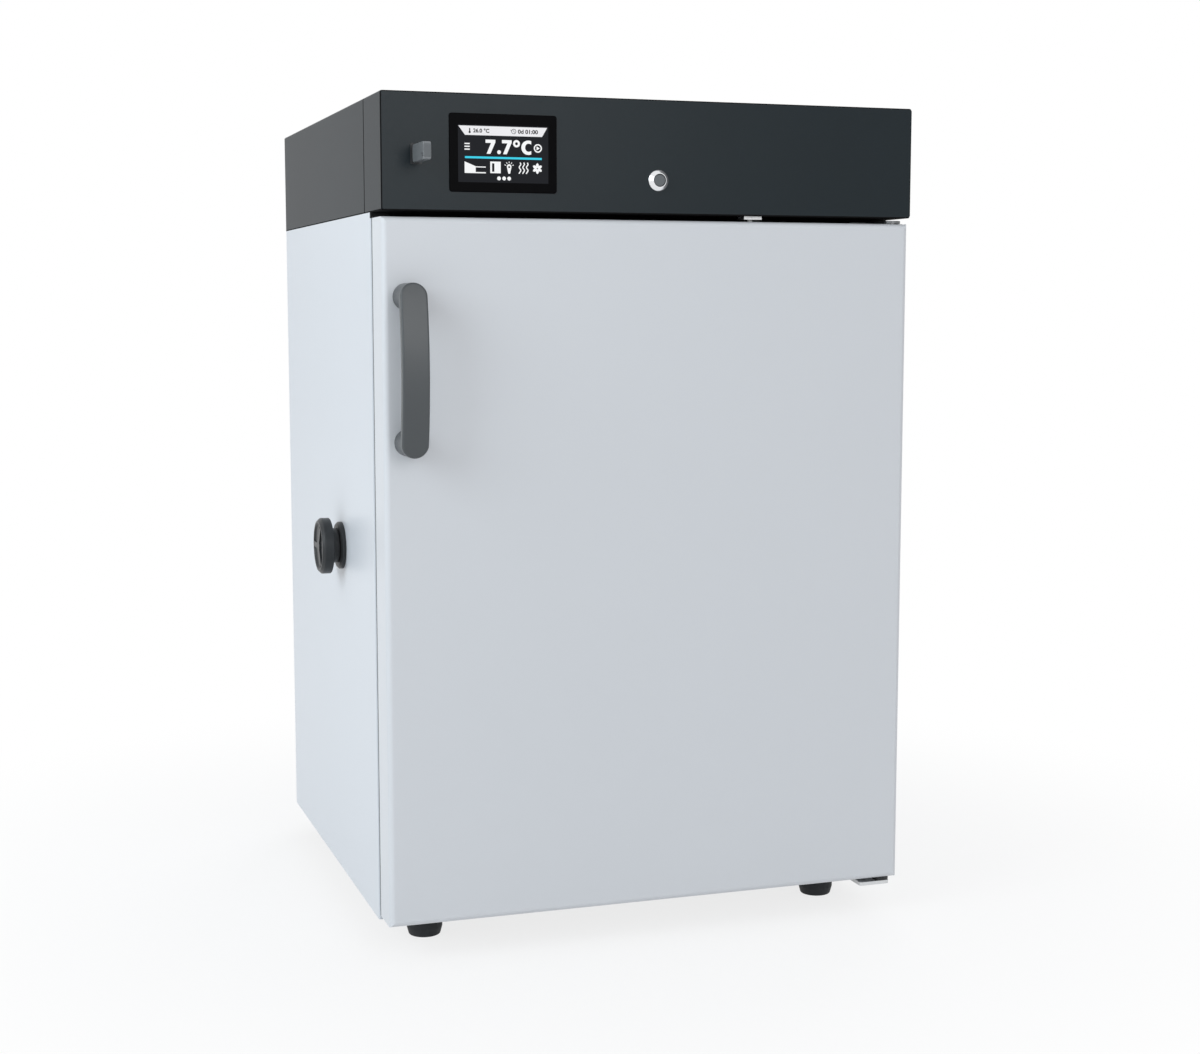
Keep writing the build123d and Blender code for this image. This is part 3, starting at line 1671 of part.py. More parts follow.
with BuildPart() as usb_socket:
    with BuildSketch(front_plane(front)):
        with Locations((drive_x, drive_z)):
            RectangleRounded(socket_thickness, socket_height, radius=socket_corner)
    extrude(amount=socket_rim)
    with BuildSketch(front_plane(front + socket_depth)):
        with Locations((drive_x, drive_z)):
            Rectangle(socket_thickness - 2 * socket_rim, socket_height - 2 * socket_rim)
    extrude(amount=socket_depth)
    with BuildSketch(front_plane(front + socket_depth - socket_wall)):
        with Locations((drive_x, drive_z)):
            Rectangle(drive_tongue_thickness + 2 * seat_gap, drive_tongue_height + 2 * seat_gap)
    extrude(amount=socket_depth + socket_rim, mode=Mode.SUBTRACT)
usb_socket.part.label = "usb_socket"
export_step(usb_socket.part, "parts/usb_socket.step")

with BuildPart() as usb_drive:
    drive_back = front - socket_rim - seat_gap
    with BuildSketch(Plane.YZ.offset(drive_x - drive_thickness / 2)) as drive_side:
        with Locations(((drive_back + front - drive_length) / 2, drive_z)):
            Rectangle(drive_back - front + drive_length, drive_height)
        fillet(drive_side.vertices(), radius=drive_corner)
        hole_inset = drive_corner + drive_hole_margin
        with Locations((front - drive_length + hole_inset, drive_z - drive_height / 2 + hole_inset)):
            Circle(drive_hole_radius, mode=Mode.SUBTRACT)
    extrude(amount=drive_thickness)
    long_edges = usb_drive.faces().sort_by(Axis.X)[0].outer_wire().edges()
    long_edges += usb_drive.faces().sort_by(Axis.X)[-1].outer_wire().edges()
    fillet(long_edges, radius=drive_edge)
    with BuildSketch(front_plane(drive_back + drive_tongue_length)):
        with Locations((drive_x, drive_z)):
            Rectangle(drive_tongue_thickness, drive_tongue_height)
    extrude(amount=drive_tongue_length)
usb_drive.part.label = "usb_drive"
export_step(usb_drive.part, "parts/usb_drive.step")

with BuildPart() as door_switch:
    # A plate under the head, a body that passes up through the frame, and a blind bore for the rod
    with BuildSketch(Plane.XY.offset(cabinet_top)):
        with Locations((switch_x, switch_y)):
            Rectangle(switch_plate_width, switch_plate_depth)
    extrude(amount=-switch_plate_drop)
    with BuildSketch(Plane.XY.offset(cabinet_top)):
        with Locations((switch_x, switch_y)):
            Rectangle(switch_body_width, switch_body_depth)
    extrude(amount=switch_body_height)
    rod_bottom = door_top + seat_gap
    bore_top = rod_bottom + switch_rod_length + switch_travel + 2 * seat_gap
    with BuildSketch(Plane.XY.offset(cabinet_top - switch_plate_drop)):
        with Locations((switch_x, switch_y)):
            Circle(switch_rod_radius + slide_gap)
    extrude(amount=bore_top - cabinet_top + switch_plate_drop, mode=Mode.SUBTRACT)
door_switch.part.label = "door_switch"
export_step(door_switch.part, "parts/door_switch.step")

with BuildPart() as door_switch_rod:
    with Locations((switch_x, switch_y, rod_bottom)):
        Cylinder(
            switch_rod_radius,
            switch_rod_length,
            align=(Align.CENTER, Align.CENTER, Align.MIN),
        )
    fillet(door_switch_rod.edges().group_by(Axis.Z)[0], radius=switch_rod_radius / 3)
door_switch_rod.part.label = "door_switch_rod"
export_step(door_switch_rod.part, "parts/door_switch_rod.step")

with BuildPart() as controller_board:
    # The board stands on four posts on the back of the display's body
    board_y = front + display_body_depth + board_post
    with BuildSketch(front_plane(board_y)):
        with Locations((display_x, display_z)):
            with GridLocations(
                display_body_width - 4 * board_post_radius,
                display_body_height - 4 * board_post_radius,
                2,
                2,
            ):
                Circle(board_post_radius)
    extrude(amount=board_post)
    with BuildSketch(front_plane(board_y + board_sheet)):
        with Locations((display_x, display_z)):
            Rectangle(board_width, board_height)
    extrude(amount=board_sheet)
    with BuildSketch(front_plane(board_y + board_sheet + chip_height)):
        with Locations((display_x, display_z)):
            Rectangle(chip_width, chip_width)
        with Locations((display_x, display_z - board_height / 2 + plug_row_height / 2)):
            with GridLocations(plug_row_pitch, 1, plug_row_count, 1):
                Rectangle(plug_row_pitch - plug_row_gap, plug_row_height)
    extrude(amount=chip_height)
controller_board.part.label = "controller_board"
export_step(controller_board.part, "parts/controller_board.step")

with BuildPart() as power_supply:
    supply_y = front + supply_back
    supply_bottom = cabinet_top + frame_sheet
    with BuildSketch(Plane.XY.offset(supply_bottom)):
        with Locations((supply_across, supply_y)):
            Rectangle(supply_width, supply_depth)
    extrude(amount=supply_height)
    # A terminal row stands in a notch at the front end
    with BuildSketch(Plane.XY.offset(supply_bottom + supply_notch)):
        with Locations((supply_across, supply_y - supply_depth / 2 + supply_notch / 2)):
            Rectangle(supply_width, supply_notch)
    extrude(amount=supply_height, mode=Mode.SUBTRACT)
power_supply.part.label = "power_supply"
export_step(power_supply.part, "parts/power_supply.step")

recess_z = inlet_z - inlet_recess_drop
rocker_z = inlet_z + rocker_rise
pocket_depth = rocker_depth + rocker_crown

with BuildPart() as mains_inlet:
    with BuildSketch(front_plane(back + inlet_rim)):
        with Locations((inlet_x, inlet_z)):
            RectangleRounded(inlet_rim_width, inlet_rim_height, radius=inlet_recess_corner)
    extrude(amount=inlet_rim)
    with BuildSketch(front_plane(back)):
        with Locations((inlet_x, inlet_z)):
            Rectangle(inlet_body_width, inlet_body_height)
    extrude(amount=inlet_body_depth)
    with BuildSketch(front_plane(back + inlet_rim)) as recess:
        with Locations((inlet_x, recess_z)):
            Rectangle(inlet_recess_width, inlet_recess_height)
        chamfer(recess.vertices().group_by(Axis.Z)[0], length=inlet_recess_corner)
    extrude(amount=inlet_recess_depth + inlet_rim, mode=Mode.SUBTRACT)
    with BuildSketch(front_plane(back - inlet_recess_depth + inlet_pin_length)):
        with Locations((inlet_x, recess_z + inlet_pin_height / 2)):
            Rectangle(inlet_pin_width, inlet_pin_height)
        for side in (-1, 1):
            with Locations((inlet_x + side * inlet_pin_spread, recess_z - inlet_pin_height / 2)):
                Rectangle(inlet_pin_width, inlet_pin_height)
    extrude(amount=inlet_pin_length)
    with BuildSketch(front_plane(back + inlet_rim)):
        with Locations((inlet_x, rocker_z)):
            Rectangle(
                rocker_width + 2 * rocker_pocket_gap,
                rocker_height + 2 * rocker_pocket_gap,
            )
    extrude(amount=inlet_rim + pocket_depth + rocker_pocket_gap, mode=Mode.SUBTRACT)
mains_inlet.part.label = "mains_inlet"
export_step(mains_inlet.part, "parts/mains_inlet.step")

rocker_pivot_y = back - rocker_pocket_gap
crown_y = rocker_pivot_y + rocker_crown

with BuildPart() as mains_rocker:
    # A shallow crown with a hollow face, tilted to the on side about the pivot in its middle
    with BuildSketch(Plane.YZ.offset(inlet_x - rocker_width / 2)):
        half = rocker_height / 2
        with BuildLine():
            Polyline(
                (crown_y, rocker_z + half),
                (rocker_pivot_y, rocker_z + half),
                (rocker_pivot_y - rocker_depth, rocker_z + rocker_foot),
                (rocker_pivot_y - rocker_depth, rocker_z - rocker_foot),
                (rocker_pivot_y, rocker_z - half),
                (crown_y, rocker_z - half),
            )
            ThreePointArc(
                (crown_y, rocker_z - half),
                (crown_y - rocker_crown / 2, rocker_z),
                (crown_y, rocker_z + half),
            )
        make_face()
    extrude(amount=rocker_width)
rocker_pivot = Axis((0, rocker_pivot_y, rocker_z), (1, 0, 0))
mains_rocker_tilted = mains_rocker.part.rotate(rocker_pivot, rocker_tilt)
mains_rocker_tilted.label = "mains_rocker"
export_step(mains_rocker_tilted, "parts/mains_rocker.step")

# Access port, turned about an axis along X

port_axis = Axis((0, port_y, port_z), (1, 0, 0))
port_inner_end = -chamber_side

with BuildPart() as port_sleeve:
    with BuildSketch(Plane.XY.offset(port_z)):
        with BuildLine():
            Polyline(
                (left - port_flange_height, port_y + port_bore_radius),
                (left - port_flange_height, port_y + port_flange_radius - port_flange_rounding),
                (left - port_flange_height + port_flange_rounding, port_y + port_flange_radius),
                (left, port_y + port_flange_radius),
                (left, port_y + port_sleeve_radius),
                (port_inner_end + port_ring_thickness, port_y + port_sleeve_radius),
                (port_inner_end + port_ring_thickness, port_y + port_bore_radius),
                close=True,
            )
        make_face()
    revolve(axis=port_axis)
port_sleeve.part.label = "port_sleeve"
export_step(port_sleeve.part, "parts/port_sleeve.step")

with BuildPart() as port_ring:
    with BuildSketch(Plane.YZ.offset(port_inner_end)):
        with Locations((port_y, port_z)):
            Circle(port_flange_radius)
            Circle(port_sleeve_radius, mode=Mode.SUBTRACT)
    extrude(amount=port_ring_thickness)
port_ring.part.label = "port_ring"
export_step(port_ring.part, "parts/port_ring.step")

plug_seat = left - port_flange_height - seat_gap
plug_back = plug_seat - plug_neck_length
plug_face = plug_back - plug_head_thickness

with BuildPart() as port_plug:
    with BuildSketch(Plane.XY.offset(port_z)):
        with BuildLine():
            Polyline(
                (plug_face + plug_dish_depth, port_y),
                (plug_face + plug_dish_depth, port_y + plug_dish_radius),
                (plug_face, port_y + plug_dish_radius + plug_dish_depth),
                (plug_face, port_y + plug_head_radius - plug_head_rounding),
                (plug_face + plug_head_rounding, port_y + plug_head_radius),
                (plug_back - plug_head_rounding, port_y + plug_head_radius),
                (plug_back, port_y + plug_head_radius - plug_head_rounding),
                (plug_back, port_y + plug_neck_radius),
                (plug_seat, port_y + plug_neck_radius),
                (plug_seat, port_y + port_bore_radius - seat_gap),
                (plug_seat + plug_stem_length, port_y + port_bore_radius - seat_gap),
                (plug_seat + plug_stem_length, port_y),
                close=True,
            )
        make_face()
    revolve(axis=port_axis)
    # Three spokes and a boss fill part of the dish in the head
    with BuildSketch(Plane.YZ.offset(plug_face + plug_dish_depth)):
        with Locations((port_y, port_z)):
            Circle(plug_boss_radius)
            with PolarLocations(plug_dish_radius / 2, plug_spokes):
                Rectangle(plug_dish_radius, plug_spoke_width)
    extrude(amount=-plug_dish_depth)
port_plug.part.label = "port_plug"
export_step(port_plug.part, "parts/port_plug.step")
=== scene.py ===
from math import cos, pi, radians, sin, sqrt

import bmesh
import bpy
from mathutils import Matrix, Vector


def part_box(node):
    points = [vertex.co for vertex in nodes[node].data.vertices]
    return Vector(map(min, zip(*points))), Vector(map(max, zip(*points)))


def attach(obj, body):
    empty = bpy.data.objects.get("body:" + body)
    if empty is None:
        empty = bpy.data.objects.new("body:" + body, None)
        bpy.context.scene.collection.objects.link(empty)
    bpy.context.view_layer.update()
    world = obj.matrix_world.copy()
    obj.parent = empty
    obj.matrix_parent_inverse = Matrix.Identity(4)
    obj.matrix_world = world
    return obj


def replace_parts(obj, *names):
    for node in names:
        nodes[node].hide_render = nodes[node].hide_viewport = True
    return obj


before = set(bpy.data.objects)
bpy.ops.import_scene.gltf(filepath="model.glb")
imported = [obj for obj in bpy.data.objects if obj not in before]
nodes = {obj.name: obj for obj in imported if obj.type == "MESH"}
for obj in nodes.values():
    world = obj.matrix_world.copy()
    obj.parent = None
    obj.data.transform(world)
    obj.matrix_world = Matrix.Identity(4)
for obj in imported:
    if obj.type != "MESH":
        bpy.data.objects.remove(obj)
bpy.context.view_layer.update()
MM = 0.001


def shader(name):
    m = bpy.data.materials.new(name)
    m.use_nodes = True
    t = m.node_tree
    return m, t, t.nodes["Principled BSDF"]


def add_node(t, kind, **values):
    n = t.nodes.new(kind)
    for key, value in values.items():
        if key in n.inputs:
            n.inputs[key].default_value = value
        else:
            setattr(n, key, value)
    return n


# Camera and light. The camera is fitted to the photo's edges: metres, degrees, millimetres of film
EYE = (-0.7205, -2.2478, 0.697)
LOOK_DOWN, LOOK_RIGHT = 6.496, 18.549
LENS, FILM_WIDTH = 57.80, 36

camera = bpy.data.objects.new("camera", bpy.data.cameras.new("camera"))
bpy.context.scene.collection.objects.link(camera)
camera.location = EYE
camera.rotation_euler = (radians(90 - LOOK_DOWN), 0, radians(-LOOK_RIGHT))
camera.data.lens = LENS
camera.data.sensor_width = FILM_WIDTH
camera.data.clip_start = 0.05
bpy.context.scene.camera = camera
bpy.context.scene.view_settings.view_transform = "Standard"

world = bpy.data.worlds.new("studio")
bpy.context.scene.world = world
world.use_nodes = True
tree = world.node_tree
tree.nodes.clear()
path = add_node(tree, "ShaderNodeLightPath")
clear = add_node(tree, "ShaderNodeMath", operation="MAXIMUM")
tree.links.new(path.outputs["Is Camera Ray"], clear.inputs[0])
tree.links.new(path.outputs["Is Transmission Ray"], clear.inputs[1])
seen = add_node(tree, "ShaderNodeMath", operation="MAXIMUM")
tree.links.new(clear.outputs[0], seen.inputs[0])
tree.links.new(path.outputs["Is Glossy Ray"], seen.inputs[1])
light = add_node(tree, "ShaderNodeBackground", Color=(0.93, 0.96, 1, 1), Strength=0.58)
shown = add_node(tree, "ShaderNodeBackground", Color=(1, 1, 1, 1), Strength=1)
mixer = add_node(tree, "ShaderNodeMixShader")
out = add_node(tree, "ShaderNodeOutputWorld")
tree.links.new(seen.outputs[0], mixer.inputs[0])
tree.links.new(light.outputs[0], mixer.inputs[1])
tree.links.new(shown.outputs[0], mixer.inputs[2])
tree.links.new(mixer.outputs[0], out.inputs[0])


def area_light(name, place, target, size, power, colour=(1, 1, 1)):
    lamp = bpy.data.lights.new(name, "AREA")
    lamp.shape = "RECTANGLE"
    lamp.size, lamp.size_y = size
    lamp.energy = power
    lamp.color = colour
    holder = bpy.data.objects.new(name, lamp)
    holder.location = place
    aim = Vector(target) - Vector(place)
    holder.rotation_euler = aim.to_track_quat("-Z", "Y").to_euler()
    bpy.context.scene.collection.objects.link(holder)


area_light("key", (-3.0, -1.2, 1.9), (0, 0, 0.5), (2.2, 2.2), 57, (0.86, 0.95, 1))
area_light("fill", (0.25, -3.3, 1.45), (-0.1, 0, 0.6), (1.3, 1.3), 16.5)
area_light("rear", (1.8, 2.6, 2.2), (0, 0, 0.5), (2.0, 2.0), 30)


NOISE_LOW, NOISE_HIGH = 0.3, 0.7
FINE_SHARE = 0.35


def surface(name, colour, rough, metal=0.0, grain=300, tone=0.04, rough_swing=0.06,
            bump=0.03, bump_size=0.0002, coat=0.0, coat_rough=0.1, specular=0.5, large=6.0,
            shade_bands=(), shade_colour=(0.002, 0.002, 0.0025)):
    """A painted, moulded, cast or brushed surface, with fine grain and a slow drift in tone.

    grain is how often the fine noise repeats per metre, as one number or one for each axis.
    A shade band is painted shade: where all its bounds meet, the colour turns to the given shade
    colour and the surface goes fully rough. Each bound is an axis, a middle and a half width in
    metres.
    """
    m, t, b = shader(name)
    b.inputs["Metallic"].default_value = metal
    b.inputs["Specular IOR Level"].default_value = specular
    b.inputs["Coat Weight"].default_value = coat
    b.inputs["Coat Roughness"].default_value = coat_rough
    place = add_node(t, "ShaderNodeTexCoord")
    stretch = add_node(t, "ShaderNodeMapping")
    stretch.inputs["Scale"].default_value = grain if isinstance(grain, tuple) else (grain,) * 3
    t.links.new(place.outputs["Object"], stretch.inputs["Vector"])
    fine = add_node(t, "ShaderNodeTexNoise", Scale=1.0, Detail=3.0, Roughness=0.55)
    t.links.new(stretch.outputs[0], fine.inputs["Vector"])
    drift = add_node(t, "ShaderNodeTexNoise", Scale=large, Detail=4.0, Roughness=0.6)
    t.links.new(place.outputs["Object"], drift.inputs["Vector"])
    ramp = add_node(t, "ShaderNodeValToRGB")
    dark = [c * (1 - tone) for c in colour]
    pale = [min(1, c * (1 + tone)) for c in colour]
    ramp.color_ramp.elements[0].position = NOISE_LOW
    ramp.color_ramp.elements[0].color = (*dark, 1)
    ramp.color_ramp.elements[1].position = NOISE_HIGH
    ramp.color_ramp.elements[1].color = (*pale, 1)
    blend = add_node(t, "ShaderNodeMix")
    blend.inputs[0].default_value = FINE_SHARE
    t.links.new(drift.outputs["Fac"], blend.inputs[2])
    t.links.new(fine.outputs["Fac"], blend.inputs[3])
    t.links.new(blend.outputs[0], ramp.inputs["Fac"])
    colour_out = ramp.outputs["Color"]
    swing = add_node(t, "ShaderNodeMapRange")
    swing.inputs["From Min"].default_value = NOISE_LOW
    swing.inputs["From Max"].default_value = NOISE_HIGH
    swing.inputs["To Min"].default_value = max(0.02, rough - rough_swing)
    swing.inputs["To Max"].default_value = min(1, rough + rough_swing)
    t.links.new(fine.outputs["Fac"], swing.inputs["Value"])
    rough_out = swing.outputs[0]
    # Painted shade: each band turns the colour to the shade colour and makes the surface fully
    # rough
    if shade_bands:
        split = add_node(t, "ShaderNodeSeparateXYZ")
        t.links.new(place.outputs["Object"], split.inputs[0])
        for bounds in shade_bands:
            inside = None
            for axis, middle, half in bounds:
                within = add_node(t, "ShaderNodeMath", operation="COMPARE")
                t.links.new(split.outputs[axis], within.inputs[0])
                within.inputs[1].default_value = middle
                within.inputs[2].default_value = half
                if inside:
                    both = add_node(t, "ShaderNodeMath", operation="MULTIPLY")
                    t.links.new(inside.outputs[0], both.inputs[0])
                    t.links.new(within.outputs[0], both.inputs[1])
                    within = both
                inside = within
            tint = add_node(t, "ShaderNodeMix", data_type="RGBA")
            t.links.new(inside.outputs[0], tint.inputs[0])
            t.links.new(colour_out, tint.inputs[6])
            tint.inputs[7].default_value = (*shade_colour, 1)
            colour_out = tint.outputs[2]
            dull = add_node(t, "ShaderNodeMath", operation="MAXIMUM")
            t.links.new(inside.outputs[0], dull.inputs[0])
            t.links.new(rough_out, dull.inputs[1])
            rough_out = dull.outputs[0]
    t.links.new(colour_out, b.inputs["Base Color"])
    t.links.new(rough_out, b.inputs["Roughness"])
    relief = add_node(t, "ShaderNodeBump", Strength=bump, Distance=bump_size)
    t.links.new(fine.outputs["Fac"], relief.inputs["Height"])
    t.links.new(relief.outputs["Normal"], b.inputs["Normal"])
    return m


def glow(name, colour):
    """A lit part of the display: a fine grid of picture cells in an emitting face."""
    m, t, b = shader(name)
    b.inputs["Base Color"].default_value = (0.001, 0.001, 0.001, 1)
    b.inputs["Roughness"].default_value = 0.3
    b.inputs["Specular IOR Level"].default_value = 0.015
    place = add_node(t, "ShaderNodeTexCoord")
    cells = add_node(t, "ShaderNodeTexNoise", Scale=900.0, Detail=1.0)
    t.links.new(place.outputs["Object"], cells.inputs["Vector"])
    ramp = add_node(t, "ShaderNodeValToRGB")
    ramp.color_ramp.elements[0].color = (*[c * 0.96 for c in colour], 1)
    ramp.color_ramp.elements[1].color = (*colour, 1)
    t.links.new(cells.outputs["Fac"], ramp.inputs["Fac"])
    t.links.new(ramp.outputs["Color"], b.inputs["Emission Color"])
    b.inputs["Emission Strength"].default_value = 1.0
    return m


# Places of the seams between sheets, where bands of painted shade go, and the half width of the
# painted shade round the front plate's rim
head_seam_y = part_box("fascia_frame")[1].y + 0.4 * MM
plate_low, plate_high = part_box("fascia_plate")
head_under_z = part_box("fascia_frame")[0].z
door_edge_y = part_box("door_panel")[1].y
cabinet_front_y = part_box("front_frame")[0].y
RIM_SHADE = 1.1 * MM
# Painted shade on the side panels' front edges just under the head, where the gap above the door
# lies in shadow
paint = surface("cabinet_paint", (0.648, 0.672, 0.708), 0.36, grain=700, tone=0.010, bump=0.05,
                specular=0.35, coat=0.10, coat_rough=0.22, large=2.5,
                shade_bands=[[("Y", cabinet_front_y, 1.3 * MM), ("Z", head_under_z, 6.0 * MM)]])
# Painted shade on the front frame just under the head, in the shadowed gap above the door
frame_paint = surface("frame_paint", (0.648, 0.672, 0.708), 0.40, grain=700, tone=0.010, bump=0.05,
                      specular=0.30, large=2.5, shade_bands=[[("Z", head_under_z, 6.0 * MM)]])
# Painted shade along the door's back edge, in the shadowed gap between door and cabinet
door_paint = surface("door_paint", (0.648, 0.660, 0.682), 0.36, grain=700, tone=0.010, bump=0.05,
                     specular=0.30, coat=0.08, coat_rough=0.22, large=2.5,
                     shade_bands=[[("Y", door_edge_y, 2.2 * MM)]])
# Painted shade along the seam at the back of the head's front frame and along the head's bottom
# edge, where the gaps lie in shadow
slate = surface("head_paint", (0.0112, 0.0175, 0.0222), 0.42, grain=1100, tone=0.10, bump=0.10,
                specular=0.14, large=5.0,
                shade_bands=[[("Y", head_seam_y, 1.7 * MM)], [("Z", head_under_z, 1.3 * MM)]])
# Painted shade on the front plate's back face and round its rim, in the shadowed seam to the frame
# around it
slate_edge = surface("head_plate_paint", (0.0078, 0.0142, 0.0182), 0.34, grain=1100, tone=0.10,
                     bump=0.10, specular=0.20, large=5.0,
                     shade_bands=[[("Y", plate_high.y, 1.2 * MM)], [("X", plate_low.x, RIM_SHADE)],
                            [("X", plate_high.x, RIM_SHADE)], [("Z", plate_low.z, RIM_SHADE)],
                            [("Z", plate_high.z, RIM_SHADE)]])
handle_grey = surface("handle_paint", (0.062, 0.068, 0.072), 0.34, grain=900, tone=0.08, bump=0.06,
                      specular=0.42)
rubber = surface("black_rubber", (0.018, 0.020, 0.023), 0.62, grain=500, tone=0.25, bump=0.2,
                 specular=0.35)
grey_rubber = surface("gasket_rubber", (0.045, 0.047, 0.050), 0.6, grain=400, tone=0.06, bump=0.12)
plastic = surface("black_plastic", (0.020, 0.021, 0.023), 0.42, grain=1500, tone=0.2, bump=0.12,
                  specular=0.35)
plug_plastic = surface("plug_plastic", (0.018, 0.020, 0.022), 0.38, grain=1200, tone=0.2, bump=0.1,
                       specular=0.35)
white_plastic = surface("white_plastic", (0.74, 0.74, 0.72), 0.42, grain=900, tone=0.02, bump=0.06)
steel = surface("liner_steel", (0.56, 0.56, 0.55), 0.30, metal=1.0, grain=(9, 9, 1500), tone=0.025,
                rough_swing=0.05, bump=0.02, large=3.0)
wire_steel = surface("wire_steel", (0.60, 0.60, 0.59), 0.18, metal=1.0, grain=200, tone=0.03,
                     bump=0.03)
zinc = surface("zinc_steel", (0.36, 0.37, 0.38), 0.42, metal=0.7, grain=60, tone=0.10,
               rough_swing=0.1, bump=0.04)
# Lit and shaded copies of the zinc: the first is painted highlight, a paler zinc for the bottom
# hinge bracket and the door switch; the second is painted shade, a darker zinc for the top hinge
# plate
lit_zinc_copy = surface("lit_zinc_copy", (0.66, 0.67, 0.68), 0.34, metal=0.85, grain=60, tone=0.08,
                      rough_swing=0.08, bump=0.04)
shaded_zinc_copy = surface("shaded_zinc_copy", (0.150, 0.155, 0.160), 0.38, metal=0.8, grain=60, tone=0.10,
                      rough_swing=0.08, bump=0.04)
chrome = surface("chrome", (0.80, 0.81, 0.83), 0.11, metal=1.0, grain=200, tone=0.02,
                 rough_swing=0.02, bump=0.01)
button_metal = surface("button_metal", (0.090, 0.098, 0.104), 0.36, metal=1.0, grain=900, tone=0.08,
                       bump=0.05)
# The drive's front face gets a band of painted shade: its own mean colour without grain, fully
# rough, so that it reads as dark as the side
drive_metal = surface("drive_metal", (0.205, 0.218, 0.228), 0.40, metal=0.45,
                      grain=(2500, 60, 2500), tone=0.12, rough_swing=0.08, bump=0.08,
                      shade_bands=[[("Y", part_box("usb_drive")[0].y, 0.4 * MM)]],
                      shade_colour=(0.205, 0.216, 0.224))
aluminium = surface("aluminium", (0.66, 0.67, 0.68), 0.34, metal=1.0, grain=(40, 1200, 1200),
                    tone=0.06, bump=0.04)
copper = surface("copper", (0.68, 0.33, 0.20), 0.30, metal=1.0, grain=150, tone=0.14, bump=0.03)
foam = surface("foam", (0.74, 0.66, 0.42), 0.9, grain=420, tone=0.12, bump=0.6, bump_size=0.0006)
shell_black = surface("compressor_paint", (0.015, 0.015, 0.016), 0.28, grain=260, tone=0.2,
                      bump=0.08, coat=0.3)
board_green = surface("board_green", (0.02, 0.14, 0.06), 0.40, grain=350, tone=0.3, bump=0.1)
lamp_white = surface("lamp_diffuser", (0.82, 0.82, 0.80), 0.35, grain=(600, 20, 600), tone=0.02,
                     bump=0.2)
glass_black = surface("bezel_glass", (0.0015, 0.0015, 0.002), 0.16, grain=100, tone=0.1,
                      rough_swing=0.02, bump=0.0, specular=0.015)
# Painted shade: near black, for the hinge screws' sockets
socket_shade_look = surface("socket_painted_shade", (0.006, 0.006, 0.006), 0.7, grain=300, tone=0.1, bump=0.05)
lit_back = glow("display_back", (0.0165, 0.0175, 0.021))
lit_white = glow("display_white", (0.95, 0.96, 0.97))
lit_pale = glow("display_bar", (0.86, 0.86, 0.885))
lit_cyan = glow("display_cyan", (0.055, 0.66, 0.85))
lit_dark = glow("display_ink", (0.004, 0.004, 0.006))

MATERIALS = {
    paint: ("side_panel_left", "side_panel_right", "back_panel"),
    frame_paint: ("front_frame",),
    door_paint: ("door_panel",),
    slate: ("head_cover", "fascia_frame"),
    slate_edge: ("fascia_plate",),
    handle_grey: ("handle_bar", "handle_posts"),
    rubber: ("feet", "compressor_mounts"),
    grey_rubber: ("door_gasket",),
    plastic: ("chamber_fan_wheel", "condenser_fan_frame", "condenser_fan_wheel", "drip_pan",
              "mains_inlet", "mains_rocker", "usb_socket", "door_bushes"),
    plug_plastic: ("port_plug", "port_ring", "port_sleeve"),
    white_plastic: ("drain_tube", "door_switch_rod"),
    steel: ("liner", "door_liner", "duct_panel", "shelf_rack_left", "shelf_rack_right"),
    wire_steel: ("shelf_top", "shelf_middle", "shelf_bottom", "temperature_probe", "hinge_pins",
                 "heater"),
    zinc: ("base_tray", "bay_panel", "head_floor", "hinge_screws"),
    # Painted highlight on the bottom hinge bracket and the door switch; painted shade on the top
    # hinge plate
    lit_zinc_copy: ("hinge_bracket_bottom", "door_switch"),
    shaded_zinc_copy: ("hinge_plate_top",),
    chrome: ("button_ring",),
    button_metal: ("power_button",),
    drive_metal: ("usb_drive",),
    aluminium: ("evaporator", "condenser", "chamber_fan_motor", "power_supply"),
    copper: ("refrigerant_pipes", "filter_drier"),
    foam: ("insulation", "door_insulation"),
    shell_black: ("compressor",),
    board_green: ("controller_board",),
    lamp_white: ("chamber_lamp",),
    glass_black: ("display_bezel",),
    lit_back: ("display_screen",),
}
for look, names in MATERIALS.items():
    for name in names:
        mesh = nodes[name].data
        mesh.materials.clear()
        mesh.materials.append(look)

# Pieces


def piece(name, mesh, body, look):
    mesh.materials.append(look)
    o = bpy.data.objects.new(name, mesh)
    bpy.context.scene.collection.objects.link(o)
    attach(o, body)
    return o


def prism_faces(form, outline, y_front, y_back, holes=()):
    """Fills an outline in the XZ plane and gives it a depth along Y, inside a bmesh."""
    part = bmesh.new()
    edges = []
    for ring in (outline, *holes):
        made = [part.verts.new((x, y_back, z)) for x, z in ring]
        edges += [part.edges.new((made[i], made[(i + 1) % len(made)])) for i in range(len(made))]
    bmesh.ops.triangle_fill(part, edges=edges, use_beauty=True)
    up = bmesh.ops.extrude_face_region(part, geom=part.faces[:])
    for v in up["geom"]:
        if isinstance(v, bmesh.types.BMVert):
            v.co.y = y_front
    bmesh.ops.recalc_face_normals(part, faces=part.faces)
    mesh = bpy.data.meshes.new("part")
    part.to_mesh(mesh)
    part.free()
    form.from_mesh(mesh)
    bpy.data.meshes.remove(mesh)


def finish_form(form, name):
    mesh = bpy.data.meshes.new(name)
    form.to_mesh(mesh)
    form.free()
    return mesh


def ring_points(cx, cz, r, n=32):
    return [(cx + r * cos(2 * pi * i / n), cz + r * sin(2 * pi * i / n)) for i in range(n)]


def arc_points(cx, cz, rx, rz, first, last, steps):
    """Points on an oval between two angles in degrees, with both ends."""
    angles = [radians(first + (last - first) * i / steps) for i in range(steps + 1)]
    return [(cx + rx * cos(a), cz + rz * sin(a)) for a in angles]


# The display: u runs right and v down from the top left corner of the lit area, in millimetres
SCREEN_LEFT, SCREEN_TOP = -219.3, 883.2
glass_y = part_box("display_screen")[0].y
LIFT = 0.06 * MM


